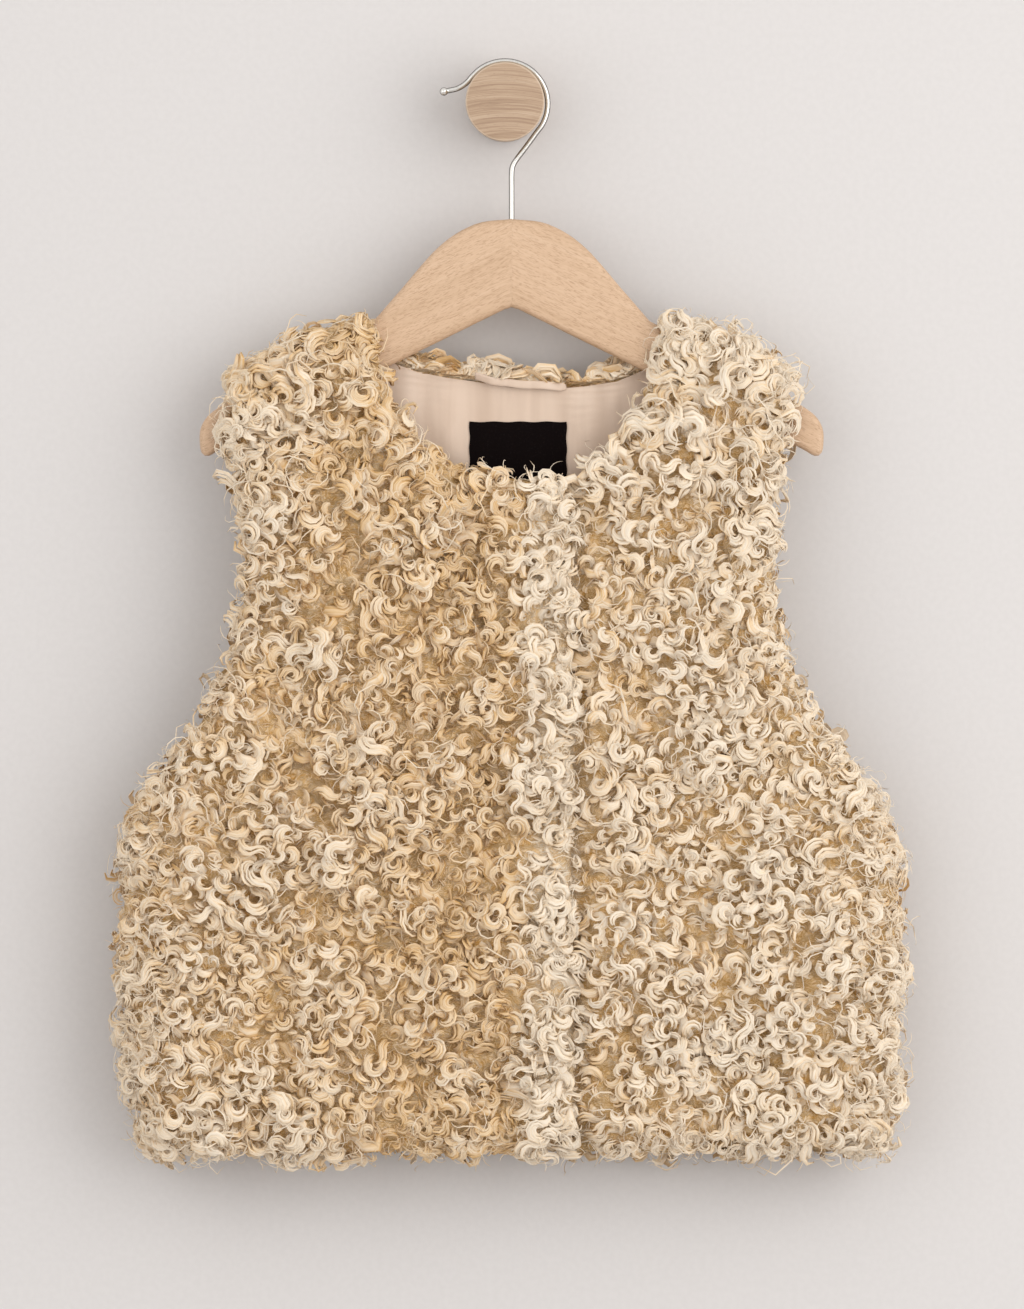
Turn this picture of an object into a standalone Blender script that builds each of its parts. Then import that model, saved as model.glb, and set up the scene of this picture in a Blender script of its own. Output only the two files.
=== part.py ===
"""A child's curly faux fur gilet on a wooden hanger, hung from a round wooden wall peg.

Metres, +Z up, +Y into the wall. The origin is the centre of the peg's flat back, on the wall.
Left and right are the wearer's: the right front is at -X and laps over the left one.
Each fur panel is one wall, cloth and pile together: plain inside, clumped like curls outside.
"""

import math
import random
from collections import namedtuple

import bmesh
import bpy
from mathutils import Vector

# ---- Driving sizes -------------------------------------------------------------------------

PEG_DIAMETER = 0.0420
PEG_LENGTH = 0.052
PEG_ROUNDING = 0.0008

HANGER_THICKNESS = 0.011
HANGER_ROUNDING = 0.0035
HANGER_CENTRE_X = 0.0036
HANGER_Y = -0.034
WIRE_DIAMETER = 0.003
WIRE_BALL_DIAMETER = 0.0046
HOOK_RADIUS = 0.0233
HOOK_ARC_DEGREES = (-43, 140)
SHANK_DEPTH = 0.014

SEAM_GAP = 0.0003
SEAT_ON_HANGER = 0.0004

HEM_Z = -0.5640
UNDERARM_Z = -0.3898
LAP_EDGE_X = 0.0272
UNDERLAP_EDGE_X = 0.0125
UNDERLAP_THICKNESS = 0.003
UNDERLAP_BARE_TO_X = 0.0315
UNDERLAP_HEM_RISE = 0.0035
LAP_BLEND = 0.020

FRONT_ROOM = 0.0140
BACK_ROOM = 0.0130
FRONT_ROOM_AT_HANGER = 0.0072
BACK_ROOM_AT_HANGER = 0.0084
ROOM_TOP_Z = -0.185
ROOM_FULL_Z = -0.310
HEM_WAVE = 0.0016
HEM_WAVE_LENGTH = 0.118

PILE_FRONT = 0.0165
PILE_BACK = 0.0135
PILE_EDGE = 0.0135
PILE_SHOULDER = 0.0175
PILE_NECK_POINT = 0.0095
NECK_POINT_X = 0.084
SHOULDER_FULL_X = 0.104
SHOULDER_FADE_Z = 0.030
CLUMP_PITCH = 0.034
CLUMP_RISE = 0.0105
CLUMP_SEED = 11

LINING_THICKNESS = 0.0010
LINING_FOOT_SHARE = 0.50
LINING_SIDE_SHARE = 0.42

LABEL_WIDTH = 0.053
LABEL_HEIGHT = 0.032
LABEL_THICKNESS = 0.0006
LABEL_TOP_Z = -0.1738
LABEL_X = 0.0035

LOOP_WIDTH = 0.0042
LOOP_THICKNESS = 0.0009

# ---- Outlines ------------------------------------------------------------------------------
# x is from the hanger's centre line and z from the peg's axis. Each edge runs up from the hem.

Point = namedtuple("Point", "x z")

SIDE_SEAM = {
    -1: (Point(-0.1885, HEM_Z), Point(-0.1969, -0.5377), Point(-0.2015, -0.4997),
         Point(-0.2029, -0.4561), Point(-0.2018, -0.4181), Point(-0.1995, UNDERARM_Z)),
    +1: (Point(0.1955, HEM_Z), Point(0.1995, -0.5377), Point(0.2010, -0.4997),
         Point(0.2025, -0.4561), Point(0.2020, -0.4181), Point(0.1945, UNDERARM_Z)),
}
ARMHOLE = {
    -1: (Point(-0.1995, UNDERARM_Z), Point(-0.1817, -0.3664), Point(-0.1627, -0.3420),
         Point(-0.1480, -0.3150), Point(-0.1393, -0.2850), Point(-0.1371, -0.2549),
         Point(-0.1382, -0.2222), Point(-0.1410, -0.1923), Point(-0.1442, -0.1570)),
    +1: (Point(0.1945, UNDERARM_Z), Point(0.1812, -0.3691), Point(0.1640, -0.3470),
         Point(0.1490, -0.3210), Point(0.1385, -0.2920), Point(0.1345, -0.2600),
         Point(0.1350, -0.2277), Point(0.1368, -0.1950), Point(0.1404, -0.1549)),
}
FRONT_NECK = {
    -1: (Point(LAP_EDGE_X, -0.2130), Point(-0.0040, -0.2128), Point(-0.0290, -0.2080),
         Point(-0.0495, -0.1940), Point(-0.0650, -0.1730), Point(-0.0760, -0.1480),
         Point(-0.0808, -0.1234)),
    +1: (Point(UNDERLAP_EDGE_X, -0.2120), Point(0.0300, -0.2105), Point(0.0490, -0.2030),
         Point(0.0660, -0.1861), Point(0.0780, -0.1635), Point(0.0845, -0.1420),
         Point(0.0865, -0.1234)),
}
BACK_NECK = {
    -1: (Point(0.0, -0.1552), Point(-0.0180, -0.1522), Point(-0.0390, -0.1492),
         Point(-0.0600, -0.1440), Point(-0.0750, -0.1350), Point(-0.0808, -0.1234)),
    +1: (Point(0.0, -0.1552), Point(0.0180, -0.1562), Point(0.0400, -0.1545),
         Point(0.0640, -0.1500), Point(0.0800, -0.1390), Point(0.0865, -0.1234)),
}
# The hanger is 340 mm wide. These run from its middle out to its tip and back underneath.
HANGER_TOP = (
    Point(0.0, -0.0634), Point(0.0196, -0.0661), Point(0.0392, -0.0781), Point(0.0609, -0.1025),
    Point(0.0751, -0.1189),
)
HANGER_ARM_SLOPE = 0.557
HANGER_TIP = (
    Point(0.1500, None), Point(0.1592, -0.1658), Point(0.1660, -0.1712), Point(0.1696, -0.1778),
    Point(0.1700, -0.1852), Point(0.1690, -0.1908), Point(0.1655, -0.1926), Point(0.1590, -0.1890),
)
HANGER_NOTCH = Point(0.0, -0.1107)
HANGER_NOTCH_ROUNDING = 0.004

# The wire's centre line below and beyond its arc round the peg, from the peg's axis.
HOOK_SHANK = (
    Point(0.0036, -0.0620), Point(0.0036, -0.0490), Point(0.0036, -0.0385), Point(0.0042, -0.0345),
    Point(0.0062, -0.0310), Point(0.0105, -0.0253),
)
HOOK_TAIL = (
    Point(-0.0206, 0.0113), Point(-0.0234, 0.0091), Point(-0.0265, 0.0076), Point(-0.0296, 0.0069),
    Point(-0.0316, 0.0065),
)

# From end to end of the loop: x and z as in the outlines, away from the lining's face.
LoopPoint = namedtuple("LoopPoint", "x z away")
LOOP_PATH = (
    LoopPoint(-0.0190, -0.1503, 0.0014), LoopPoint(-0.0150, -0.1510, 0.0020),
    LoopPoint(-0.0060, -0.1522, 0.0027), LoopPoint(0.0060, -0.1533, 0.0031),
    LoopPoint(0.0170, -0.1543, 0.0028), LoopPoint(0.0260, -0.1549, 0.0019),
    LoopPoint(0.0300, -0.1550, 0.0014),
)

# ---- Panel grid ----------------------------------------------------------------------------
# A roll turns the cloth at an edge. Its columns: inward is the share of the roll's width,
# room the share of the full room inside, lean how far the pile leans over the edge.

Roll = namedtuple("Roll", "inward room lean")

SEAM_ROLL = (Roll(0.0, 0.00, 90), Roll(0.0, 0.38, 90), Roll(0.25, 0.82, 42), Roll(1.0, 1.00, 0))
FREE_ROLL = (Roll(0.0, 0.00, 74), Roll(0.25, 0.55, 50), Roll(0.60, 0.85, 24), Roll(1.0, 1.00, 0))
LAP_ROLL = (Roll(0.0, 1.00, 46), Roll(0.25, 1.00, 34), Roll(0.60, 1.00, 14), Roll(1.0, 1.00, 0))
UNDERLAP_ROLL = (Roll(0.0, 1.00, 0), Roll(0.80, 1.00, 0), Roll(1.70, 1.00, 0), Roll(2.2, 1.00, 0))
FLAT_ROLL = (Roll(0.0, 1.00, 0), Roll(0.25, 1.00, 0), Roll(0.60, 1.00, 0), Roll(1.0, 1.00, 0))
SHOULDER_ROLL = (Roll(0.0, 0.00, 90), Roll(0.0, 0.34, 90), Roll(0.12, 0.66, 64),
                 Roll(0.40, 0.92, 32), Roll(1.0, 1.00, 0))

SEAM_ROLL_WIDTH = 0.016
FREE_ROLL_WIDTH = 0.011
SHOULDER_ROLL_WIDTH = 0.007
HEM_ROOM_SHARE = 0.62
FRONT_EDGE_ROOM_SHARE = 0.87
BACK_EDGE_ROOM_SHARE = 0.93
UNDERARM_BLEND = 0.06
NECK_BLEND = 0.06

UNDERARM_SHARE = 0.40
FRONT_NECK_SHARE = 0.70
BACK_NECK_SHARE = 0.80
ROWS_BELOW_UNDERARM = 12
ROWS_ABOVE_UNDERARM = 17
COLUMNS_BETWEEN_ROLLS = 13
PANEL_HEIGHT = 0.44

# ---- Small helpers -------------------------------------------------------------------------


def smooth_step(share):
    share = min(1.0, max(0.0, share))
    return share * share * (3 - 2 * share)


def mix(a, b, share):
    return a + (b - a) * share


class Line:
    """A smooth line through points, read by the share of its length."""

    STEPS = 16

    def __init__(self, points):
        knots = [Vector((p.x, p.z)) for p in points]
        ends = [2 * knots[0] - knots[1], *knots, 2 * knots[-1] - knots[-2]]
        self.points = [knots[0]]
        for k in range(1, len(knots)):
            a, b, c, d = ends[k - 1:k + 3]
            for step in range(1, self.STEPS + 1):
                t = step / self.STEPS
                self.points.append(
                    0.5 * (2 * b + (c - a) * t + (2 * a - 5 * b + 4 * c - d) * t * t
                           + (3 * b - a - 3 * c + d) * t ** 3)
                )
        self.lengths = [0.0]
        for first, second in zip(self.points, self.points[1:]):
            self.lengths.append(self.lengths[-1] + (second - first).length)

    def at(self, share):
        reach = min(1.0, max(0.0, share)) * self.lengths[-1]
        for k in range(1, len(self.points)):
            if self.lengths[k] >= reach:
                part = (reach - self.lengths[k - 1]) / (self.lengths[k] - self.lengths[k - 1])
                return self.points[k - 1].lerp(self.points[k], part)
        return self.points[-1].copy()


class Edge:
    """Two lines that meet at a corner, read by the share of the panel's height."""

    def __init__(self, lower, upper, corner_share):
        self.lower, self.upper = Line(lower), Line(upper)
        self.corner_share = corner_share

    def at(self, share):
        if share <= self.corner_share:
            return self.lower.at(share / self.corner_share)
        return self.upper.at((share - self.corner_share) / (1 - self.corner_share))

    def outward(self, share, turn):
        """The direction in the panel's plane that leaves it across this edge."""
        near = 0.012
        lowest = self.corner_share if share >= self.corner_share else 0.0
        along = self.at(min(1.0, share + near)) - self.at(max(lowest, share - near))
        return (Vector((along.y, -along.x)) * turn).normalized()


class Clumps:
    """Rounded clumps of curls on a shaken grid. rise() is 0 in the valleys and 1 on a crown."""

    def __init__(self, seed):
        chance = random.Random(seed)
        self.crowns = {}
        for column in range(-12, 13):
            for row in range(-24, 2):
                shift = 0.5 * (row % 2)
                x = (column + shift + chance.uniform(-0.28, 0.28)) * CLUMP_PITCH
                z = (row + chance.uniform(-0.28, 0.28)) * CLUMP_PITCH * 0.87
                self.crowns[column, row] = (x, z, chance.uniform(0.55, 1.0))

    def rise(self, x, z):
        row = round(z / (CLUMP_PITCH * 0.87))
        column = round(x / CLUMP_PITCH)
        best = 0.0
        for near_row in range(row - 1, row + 2):
            for near_column in range(column - 2, column + 3):
                crown = self.crowns.get((near_column, near_row))
                if crown:
                    away = math.hypot(x - crown[0], z - crown[1]) / (0.75 * CLUMP_PITCH)
                    best = max(best, crown[2] * (1 - away * away))
        return best


def hanger_top_z(x):
    """The top edge of the hanger's arm, which is straight outside the shoulders of its crown."""
    start = HANGER_TOP[-1]
    return start.z - (abs(x) - start.x) * HANGER_ARM_SLOPE


def on_hanger(points):
    """The points, with the last one seated on the hanger's arm."""
    last = points[-1]
    return (*points[:-1], Point(last.x, hanger_top_z(last.x) + SEAT_ON_HANGER))


# ---- Scene set-up --------------------------------------------------------------------------


def empty_scene():
    for obj in list(bpy.data.objects):
        bpy.data.objects.remove(obj, do_unlink=True)


def new_collection(name):
    collection = bpy.data.collections.new(name)
    bpy.context.scene.collection.children.link(collection)
    return collection


def new_material(name, colour, roughness, metallic=0.0):
    material = bpy.data.materials.new(name)
    material.use_nodes = True
    shader = material.node_tree.nodes["Principled BSDF"]
    shader.inputs["Base Color"].default_value = (*colour, 1.0)
    shader.inputs["Roughness"].default_value = roughness
    shader.inputs["Metallic"].default_value = metallic
    return material


def place(obj, collection, material):
    for old in list(obj.users_collection):
        old.objects.unlink(obj)
    collection.objects.link(obj)
    obj.data.materials.clear()
    obj.data.materials.append(material)
    return obj


def object_from(bm, name, collection, material, smooth=True):
    bmesh.ops.recalc_face_normals(bm, faces=bm.faces)
    mesh = bpy.data.meshes.new(name)
    bm.to_mesh(mesh)
    bm.free()
    if smooth:
        mesh.shade_smooth()
    obj = bpy.data.objects.new(name, mesh)
    return place(obj, collection, material)


# ---- Fur panels ----------------------------------------------------------------------------


class HalfPanel:
    """One side of a panel, from its side seam and armhole to the centre line and neck.

    side is -1 at the wearer's right and +1 at the left; face is -1 in front and +1 behind.
    """

    def __init__(self, side, face, centre_x, neck, neck_share, centre_roll, lap):
        self.side, self.face, self.lap = side, face, lap
        self.outer = Edge(SIDE_SEAM[side], on_hanger(ARMHOLE[side]), UNDERARM_SHARE)
        hem_centre = Point(centre_x, HEM_Z + (UNDERLAP_HEM_RISE if lap == "under" else 0.0))
        self.inner = Edge((hem_centre, neck[0]), on_hanger(neck), neck_share)
        self.neck_share, self.centre_roll = neck_share, centre_roll
        self.edge_room = FRONT_EDGE_ROOM_SHARE if face < 0 else BACK_EDGE_ROOM_SHARE
        self.heights = self.row_heights()
        tip, neck_point = self.outer.at(1.0), self.inner.at(1.0)
        along = (neck_point - tip).normalized()
        self.up = Vector((-along.y, along.x)) * (1 if along.x > 0 else -1)

    def row_heights(self):
        """(share of height, roll, is at the hem) for each row, hem first."""
        hem_end = FREE_ROLL_WIDTH / PANEL_HEIGHT
        rows = [(roll.inward * hem_end, roll, True) for roll in FREE_ROLL]
        top = 1 - SHOULDER_ROLL_WIDTH / PANEL_HEIGHT
        plain = Roll(1.0, 1.0, 0)
        for k in range(1, ROWS_BELOW_UNDERARM + 1):
            rows.append((mix(hem_end, UNDERARM_SHARE, k / ROWS_BELOW_UNDERARM), plain, False))
        between = [mix(UNDERARM_SHARE, top, k / ROWS_ABOVE_UNDERARM) for k in range(1, ROWS_ABOVE_UNDERARM)]
        nearest = min(between, key=lambda share: abs(share - self.neck_share))
        rows += [(self.neck_share if share == nearest else share, plain, False) for share in between]
        rows += [(1 - roll.inward * (1 - top), roll, False) for roll in reversed(SHOULDER_ROLL)]
        return rows

    def is_neck(self, share):
        return share > self.neck_share + 1e-9

    def outer_roll(self, share, k):
        """The roll at the side seam, which opens into the armhole's above the underarm."""
        open_share = smooth_step((share - UNDERARM_SHARE) / UNDERARM_BLEND)
        seam, free = SEAM_ROLL[k], FREE_ROLL[k]
        room = mix(self.edge_room, 1.0, free.room)
        width = mix(SEAM_ROLL_WIDTH, FREE_ROLL_WIDTH, open_share)
        return (
            mix(seam.inward, free.inward, open_share) * width,
            mix(seam.room, room, open_share),
            mix(seam.lean, free.lean, open_share),
        )

    def inner_roll(self, share, k):
        """The roll at the centre line, which opens into the neck's above its corner."""
        centre, free = self.centre_roll[k], FREE_ROLL[k]
        if self.lap:
            opened = smooth_step((share - self.neck_share) / NECK_BLEND)
        else:
            opened = 1.0 if share >= self.neck_share else 0.0
        return (
            mix(centre.inward, free.inward, opened) * FREE_ROLL_WIDTH,
            mix(centre.room, mix(self.edge_room, 1.0, free.room), opened),
            mix(centre.lean, free.lean, opened),
        )

    def columns(self, share):
        """(share across, room, lean over the outer edge, lean over the inner edge)."""
        start, end = self.outer.at(share), self.inner.at(share)
        width = (end - start).length
        found = []
        for k in range(len(SEAM_ROLL)):
            inward, room, lean = self.outer_roll(share, k)
            found.append((inward / width, room, lean, 0.0))
        first = found[-1][0]
        rolls = [self.inner_roll(share, k) for k in reversed(range(len(SEAM_ROLL)))]
        last = 1 - rolls[0][0] / width
        for k in range(1, COLUMNS_BETWEEN_ROLLS):
            found.append((mix(first, last, k / COLUMNS_BETWEEN_ROLLS), 1.0, 0.0, 0.0))
        for inward, room, lean in rolls:
            found.append((1 - inward / width, room, 0.0, lean))
        return found

    def room(self, x, z):
        """Half of the space between front and back, measured from the seams' plane."""
        full, narrow = (
            (FRONT_ROOM, FRONT_ROOM_AT_HANGER) if self.face < 0 else (BACK_ROOM, BACK_ROOM_AT_HANGER)
        )
        low = smooth_step((ROOM_TOP_Z - z) / (ROOM_TOP_Z - ROOM_FULL_Z))
        wave = HEM_WAVE * low * math.sin(2 * math.pi * (x / HEM_WAVE_LENGTH + 0.15 * self.face))
        return mix(narrow, full, low) + wave

    def lift(self, x):
        """What the lapping front stands off, where it lies on the other one's edge."""
        if self.lap != "over":
            return 0.0
        full_x = UNDERLAP_EDGE_X - 0.014
        share = smooth_step((x - full_x + LAP_BLEND) / LAP_BLEND)
        return (UNDERLAP_THICKNESS + 2 * SEAM_GAP) * share

    def pile(self, x, z, lean, clumps):
        base = PILE_FRONT if self.face < 0 else PILE_BACK
        low = smooth_step((ROOM_TOP_Z - z) / SHOULDER_FADE_Z)
        across = smooth_step((abs(x) - NECK_POINT_X) / (SHOULDER_FULL_X - NECK_POINT_X))
        edge = mix(mix(PILE_NECK_POINT, PILE_SHOULDER, across), PILE_EDGE, low)
        height = mix(base, edge, math.sin(math.radians(lean)))
        height += CLUMP_RISE * (clumps.rise(x, z) - 0.5) * mix(1.0, 0.45, lean / 90)
        if self.lap == "under":
            height = mix(UNDERLAP_THICKNESS, height, smooth_step((x - UNDERLAP_BARE_TO_X) / LAP_BLEND))
        return height

    def grid(self, clumps):
        """Rows of (inner point, outer point), in metres, hem first."""
        rows = []
        for share, row_roll, at_hem in self.heights:
            start, end = self.outer.at(share), self.inner.at(share)
            out_side = self.outer.outward(share, self.side)
            out_neck = self.inner.outward(share, -self.side)
            out_row = Vector((0.0, -1.0)) if at_hem else self.up
            row_room = row_roll.room
            if at_hem:
                row_room = mix(HEM_ROOM_SHARE, 1.0, row_roll.room)
            row = []
            for across, room, lean_side, lean_neck in self.columns(share):
                flat = start.lerp(end, across)
                depth = SEAM_GAP / 2 + self.room(flat.x, flat.y) * room * row_room + self.lift(flat.x)
                angles = [math.radians(lean) for lean in (lean_side, lean_neck, row_roll.lean)]
                spread = (
                    out_side * math.sin(angles[0])
                    + out_neck * math.sin(angles[1])
                    + out_row * math.sin(angles[2])
                )
                if self.lap is None and abs(flat.x) < 1e-6:
                    spread = Vector((0.0, math.copysign(spread.length, spread.y)))
                ahead = math.cos(angles[0]) * math.cos(angles[1]) * math.cos(angles[2])
                ahead = 0.0 if ahead < 1e-6 else ahead
                way = Vector((spread.x, self.face * ahead, spread.y)).normalized()
                inside = Vector((HANGER_CENTRE_X + flat.x, HANGER_Y + self.face * depth, flat.y))
                height = self.pile(flat.x, flat.y, max(lean_side, lean_neck, row_roll.lean), clumps)
                row.append((inside, inside + way * height))
            rows.append(row)
        return rows

    def centre_rows(self):
        """How many rows end on the centre line, counted from the hem."""
        return sum(not self.is_neck(share) for share, _, _ in self.heights)


def wall(bm, rows, joined_rows=0):
    """A closed wall between the two points of each grid place. Along the last column the first
    joined_rows rows stay open, where the other half of the panel carries on."""
    sides = [[[bm.verts.new(pair[k]) for pair in row] for row in rows] for k in (0, 1)]
    inside, outside = sides
    for grid in sides:
        for low, high in zip(grid, grid[1:]):
            for k in range(len(low) - 1):
                bm.faces.new((low[k], low[k + 1], high[k + 1], high[k]))

    def rim(pairs):
        for (a, b), (c, d) in zip(pairs, pairs[1:]):
            bm.faces.new((a, b, d, c))

    rim(list(zip(inside[0], outside[0])))
    rim(list(zip(inside[-1], outside[-1])))
    rim([(row[0], out[0]) for row, out in zip(inside, outside)])
    open_from = max(0, joined_rows - 1)
    rim([(row[-1], out[-1]) for row, out in zip(inside[open_from:], outside[open_from:])])


def front_panel(name, half, collection, material):
    bm = bmesh.new()
    wall(bm, half.grid(Clumps(CLUMP_SEED)))
    return object_from(bm, name, collection, material)


def back_panel(name, halves, collection, material):
    """Both halves as one wall, joined down the centre line."""
    bm = bmesh.new()
    for half in halves:
        wall(bm, half.grid(Clumps(CLUMP_SEED + 1)), half.centre_rows())
    bmesh.ops.remove_doubles(bm, verts=bm.verts, dist=0.00001)
    return object_from(bm, name, collection, material)


def back_lining(name, halves, collection, material):
    """The lining that shows inside the neck, laid on the back panel's own inner points."""
    bm = bmesh.new()
    step = Vector((0.0, -1.0, 0.0))
    for half in halves:
        shares = [share for share, _, _ in half.heights]
        first = next(k for k, share in enumerate(shares) if share >= LINING_FOOT_SHARE)
        last = len(shares) - len(SHOULDER_ROLL)
        rows = []
        for row in half.grid(Clumps(CLUMP_SEED + 1))[first:last + 1]:
            kept = row[round(LINING_SIDE_SHARE * len(row)):]
            rows.append([
                (inner + step * SEAM_GAP, inner + step * (SEAM_GAP + LINING_THICKNESS))
                for inner, _ in kept
            ])
        wall(bm, rows, half.centre_rows() - first)
    bmesh.ops.remove_doubles(bm, verts=bm.verts, dist=0.00001)
    return object_from(bm, name, collection, material)


# ---- Label and hanging loop ----------------------------------------------------------------


def lining_face_y(half, x, z):
    """Where the lining's visible face is, inside the back."""
    depth = SEAM_GAP / 2 + half.room(x, z)
    return HANGER_Y + depth - SEAM_GAP - LINING_THICKNESS


def strip(rows, thickness, name, collection, material):
    """An open surface through rows of points, thickened towards the front."""
    bm = bmesh.new()
    grid = [[bm.verts.new(point) for point in row] for row in rows]
    for low, high in zip(grid, grid[1:]):
        for k in range(len(low) - 1):
            bm.faces.new((low[k], low[k + 1], high[k + 1], high[k]))
    bm.normal_update()
    for face in bm.faces:
        if face.normal.y > 0:
            face.normal_flip()
    mesh = bpy.data.meshes.new(name)
    bm.to_mesh(mesh)
    bm.free()
    obj = place(bpy.data.objects.new(name, mesh), collection, material)
    thick = obj.modifiers.new("Thickness", "SOLIDIFY")
    thick.thickness = thickness
    thick.offset = 1.0
    return obj


def neck_label(half, collection, material):
    rows = []
    for down in (0.0, 0.5, 1.0):
        z = LABEL_TOP_Z - down * LABEL_HEIGHT
        rows.append([
            Vector((
                HANGER_CENTRE_X + LABEL_X + across * LABEL_WIDTH,
                lining_face_y(half, LABEL_X + across * LABEL_WIDTH, z) - SEAM_GAP * 1.5,
                z,
            ))
            for across in (-0.5, -0.25, 0.0, 0.25, 0.5)
        ])
    return strip(rows, LABEL_THICKNESS, "neck_label", collection, material)


def hanging_loop(half, collection, material):
    low, high = [], []
    for point in LOOP_PATH:
        x = HANGER_CENTRE_X + point.x
        y = lining_face_y(half, point.x, point.z) - point.away
        low.append(Vector((x, y, point.z - LOOP_WIDTH / 2)))
        high.append(Vector((x, y, point.z + LOOP_WIDTH / 2)))
    return strip([low, high], LOOP_THICKNESS, "hanging_loop", collection, material)


# ---- Hanger, hook and peg ------------------------------------------------------------------


def hanger_outline():
    """The hanger's outline from the front, round once from its top."""
    crown = Line(HANGER_TOP)
    half = [crown.at(k / 7) for k in range(8)]
    tip = [Vector((p.x, hanger_top_z(p.x) if p.z is None else p.z)) for p in HANGER_TIP]
    half += tip
    notch = Vector((HANGER_NOTCH.x, HANGER_NOTCH.z))
    under = (tip[-1] - notch).normalized()
    half.append(notch + under * 0.070)
    half.append(notch + under * HANGER_NOTCH_ROUNDING)
    mirrored = [Vector((-p.x, p.y)) for p in reversed(half[1:])]
    return half + [Vector((0.0, HANGER_NOTCH.z - 0.0008))] + mirrored


def wooden_hanger(collection, cutters, material):
    bm = bmesh.new()
    corners = [
        bm.verts.new((HANGER_CENTRE_X + corner.x, HANGER_Y, corner.y)) for corner in hanger_outline()
    ]
    bm.faces.new(corners)
    obj = object_from(bm, "hanger", collection, material, smooth=False)
    thick = obj.modifiers.new("Thickness", "SOLIDIFY")
    thick.thickness = HANGER_THICKNESS
    thick.offset = 0.0
    rounding = obj.modifiers.new("Rounded edges", "BEVEL")
    rounding.width = HANGER_ROUNDING
    rounding.segments = 3
    rounding.limit_method = "ANGLE"
    rounding.angle_limit = math.radians(60)

    bpy.ops.mesh.primitive_cylinder_add(
        vertices=16, radius=WIRE_DIAMETER / 2 + SEAM_GAP, depth=2 * SHANK_DEPTH + 0.001,
        location=(HANGER_CENTRE_X, HANGER_Y, HANGER_TOP[0].z),
    )
    drill = place(bpy.context.object, cutters, material)
    drill.name = "hook_drill"
    drill.hide_render = True
    drill.display_type = "WIRE"
    hole = obj.modifiers.new("Hook hole", "BOOLEAN")
    hole.operation = "DIFFERENCE"
    hole.object = drill
    return obj


def hook_wire(collection, material):
    """A bent wire with a ball end, seated in the hanger and on the peg's top."""
    top = PEG_DIAMETER / 2 + SEAM_GAP + WIRE_DIAMETER / 2
    start, end = HOOK_ARC_DEGREES
    arc = []
    for k in range(15):
        angle = math.radians(mix(start, end, k / 14))
        arc.append(Point(HOOK_RADIUS * math.cos(angle), top + HOOK_RADIUS * (math.sin(angle) - 1)))
    route = Line((*HOOK_SHANK, *arc, *HOOK_TAIL))
    foot_z = HANGER_TOP[0].z - SHANK_DEPTH
    count = 48
    points = [Vector((HANGER_CENTRE_X, foot_z))] + [route.at(k / count) for k in range(count + 1)]
    radii = [1.0] * len(points)
    ball = WIRE_BALL_DIAMETER / 2
    wire = WIRE_DIAMETER / 2
    end = points[-1]
    away = (points[-1] - points[-2]).normalized()
    start = math.acos(wire / ball)
    for k in range(7):
        angle = mix(-start, math.radians(72), k / 6)
        points.append(end + away * ball * (math.sin(angle) + math.sin(start)))
        radii.append(ball * math.cos(angle) / wire)
    curve = bpy.data.curves.new("hanger_hook", "CURVE")
    curve.dimensions = "3D"
    curve.bevel_depth = WIRE_DIAMETER / 2
    curve.bevel_resolution = 2
    curve.use_fill_caps = True
    spline = curve.splines.new("POLY")
    spline.points.add(len(points) - 1)
    for place_on, point, radius in zip(spline.points, points, radii):
        place_on.co = (point.x, HANGER_Y, point.y, 1.0)
        place_on.radius = radius
    return place(bpy.data.objects.new("hanger_hook", curve), collection, material)


def wall_peg(collection, material):
    bpy.ops.mesh.primitive_cylinder_add(
        vertices=56, radius=PEG_DIAMETER / 2, depth=PEG_LENGTH,
        location=(0.0, -PEG_LENGTH / 2, 0.0), rotation=(math.pi / 2, 0.0, 0.0),
    )
    peg = place(bpy.context.object, collection, material)
    peg.name = "wall_peg"
    peg.data.shade_smooth()
    peg.data.set_sharp_from_angle(angle=math.radians(30))
    rounding = peg.modifiers.new("Rounded rims", "BEVEL")
    rounding.width = PEG_ROUNDING
    rounding.segments = 2
    rounding.limit_method = "ANGLE"
    return peg


# ---- The whole gilet on its hanger ---------------------------------------------------------


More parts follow.
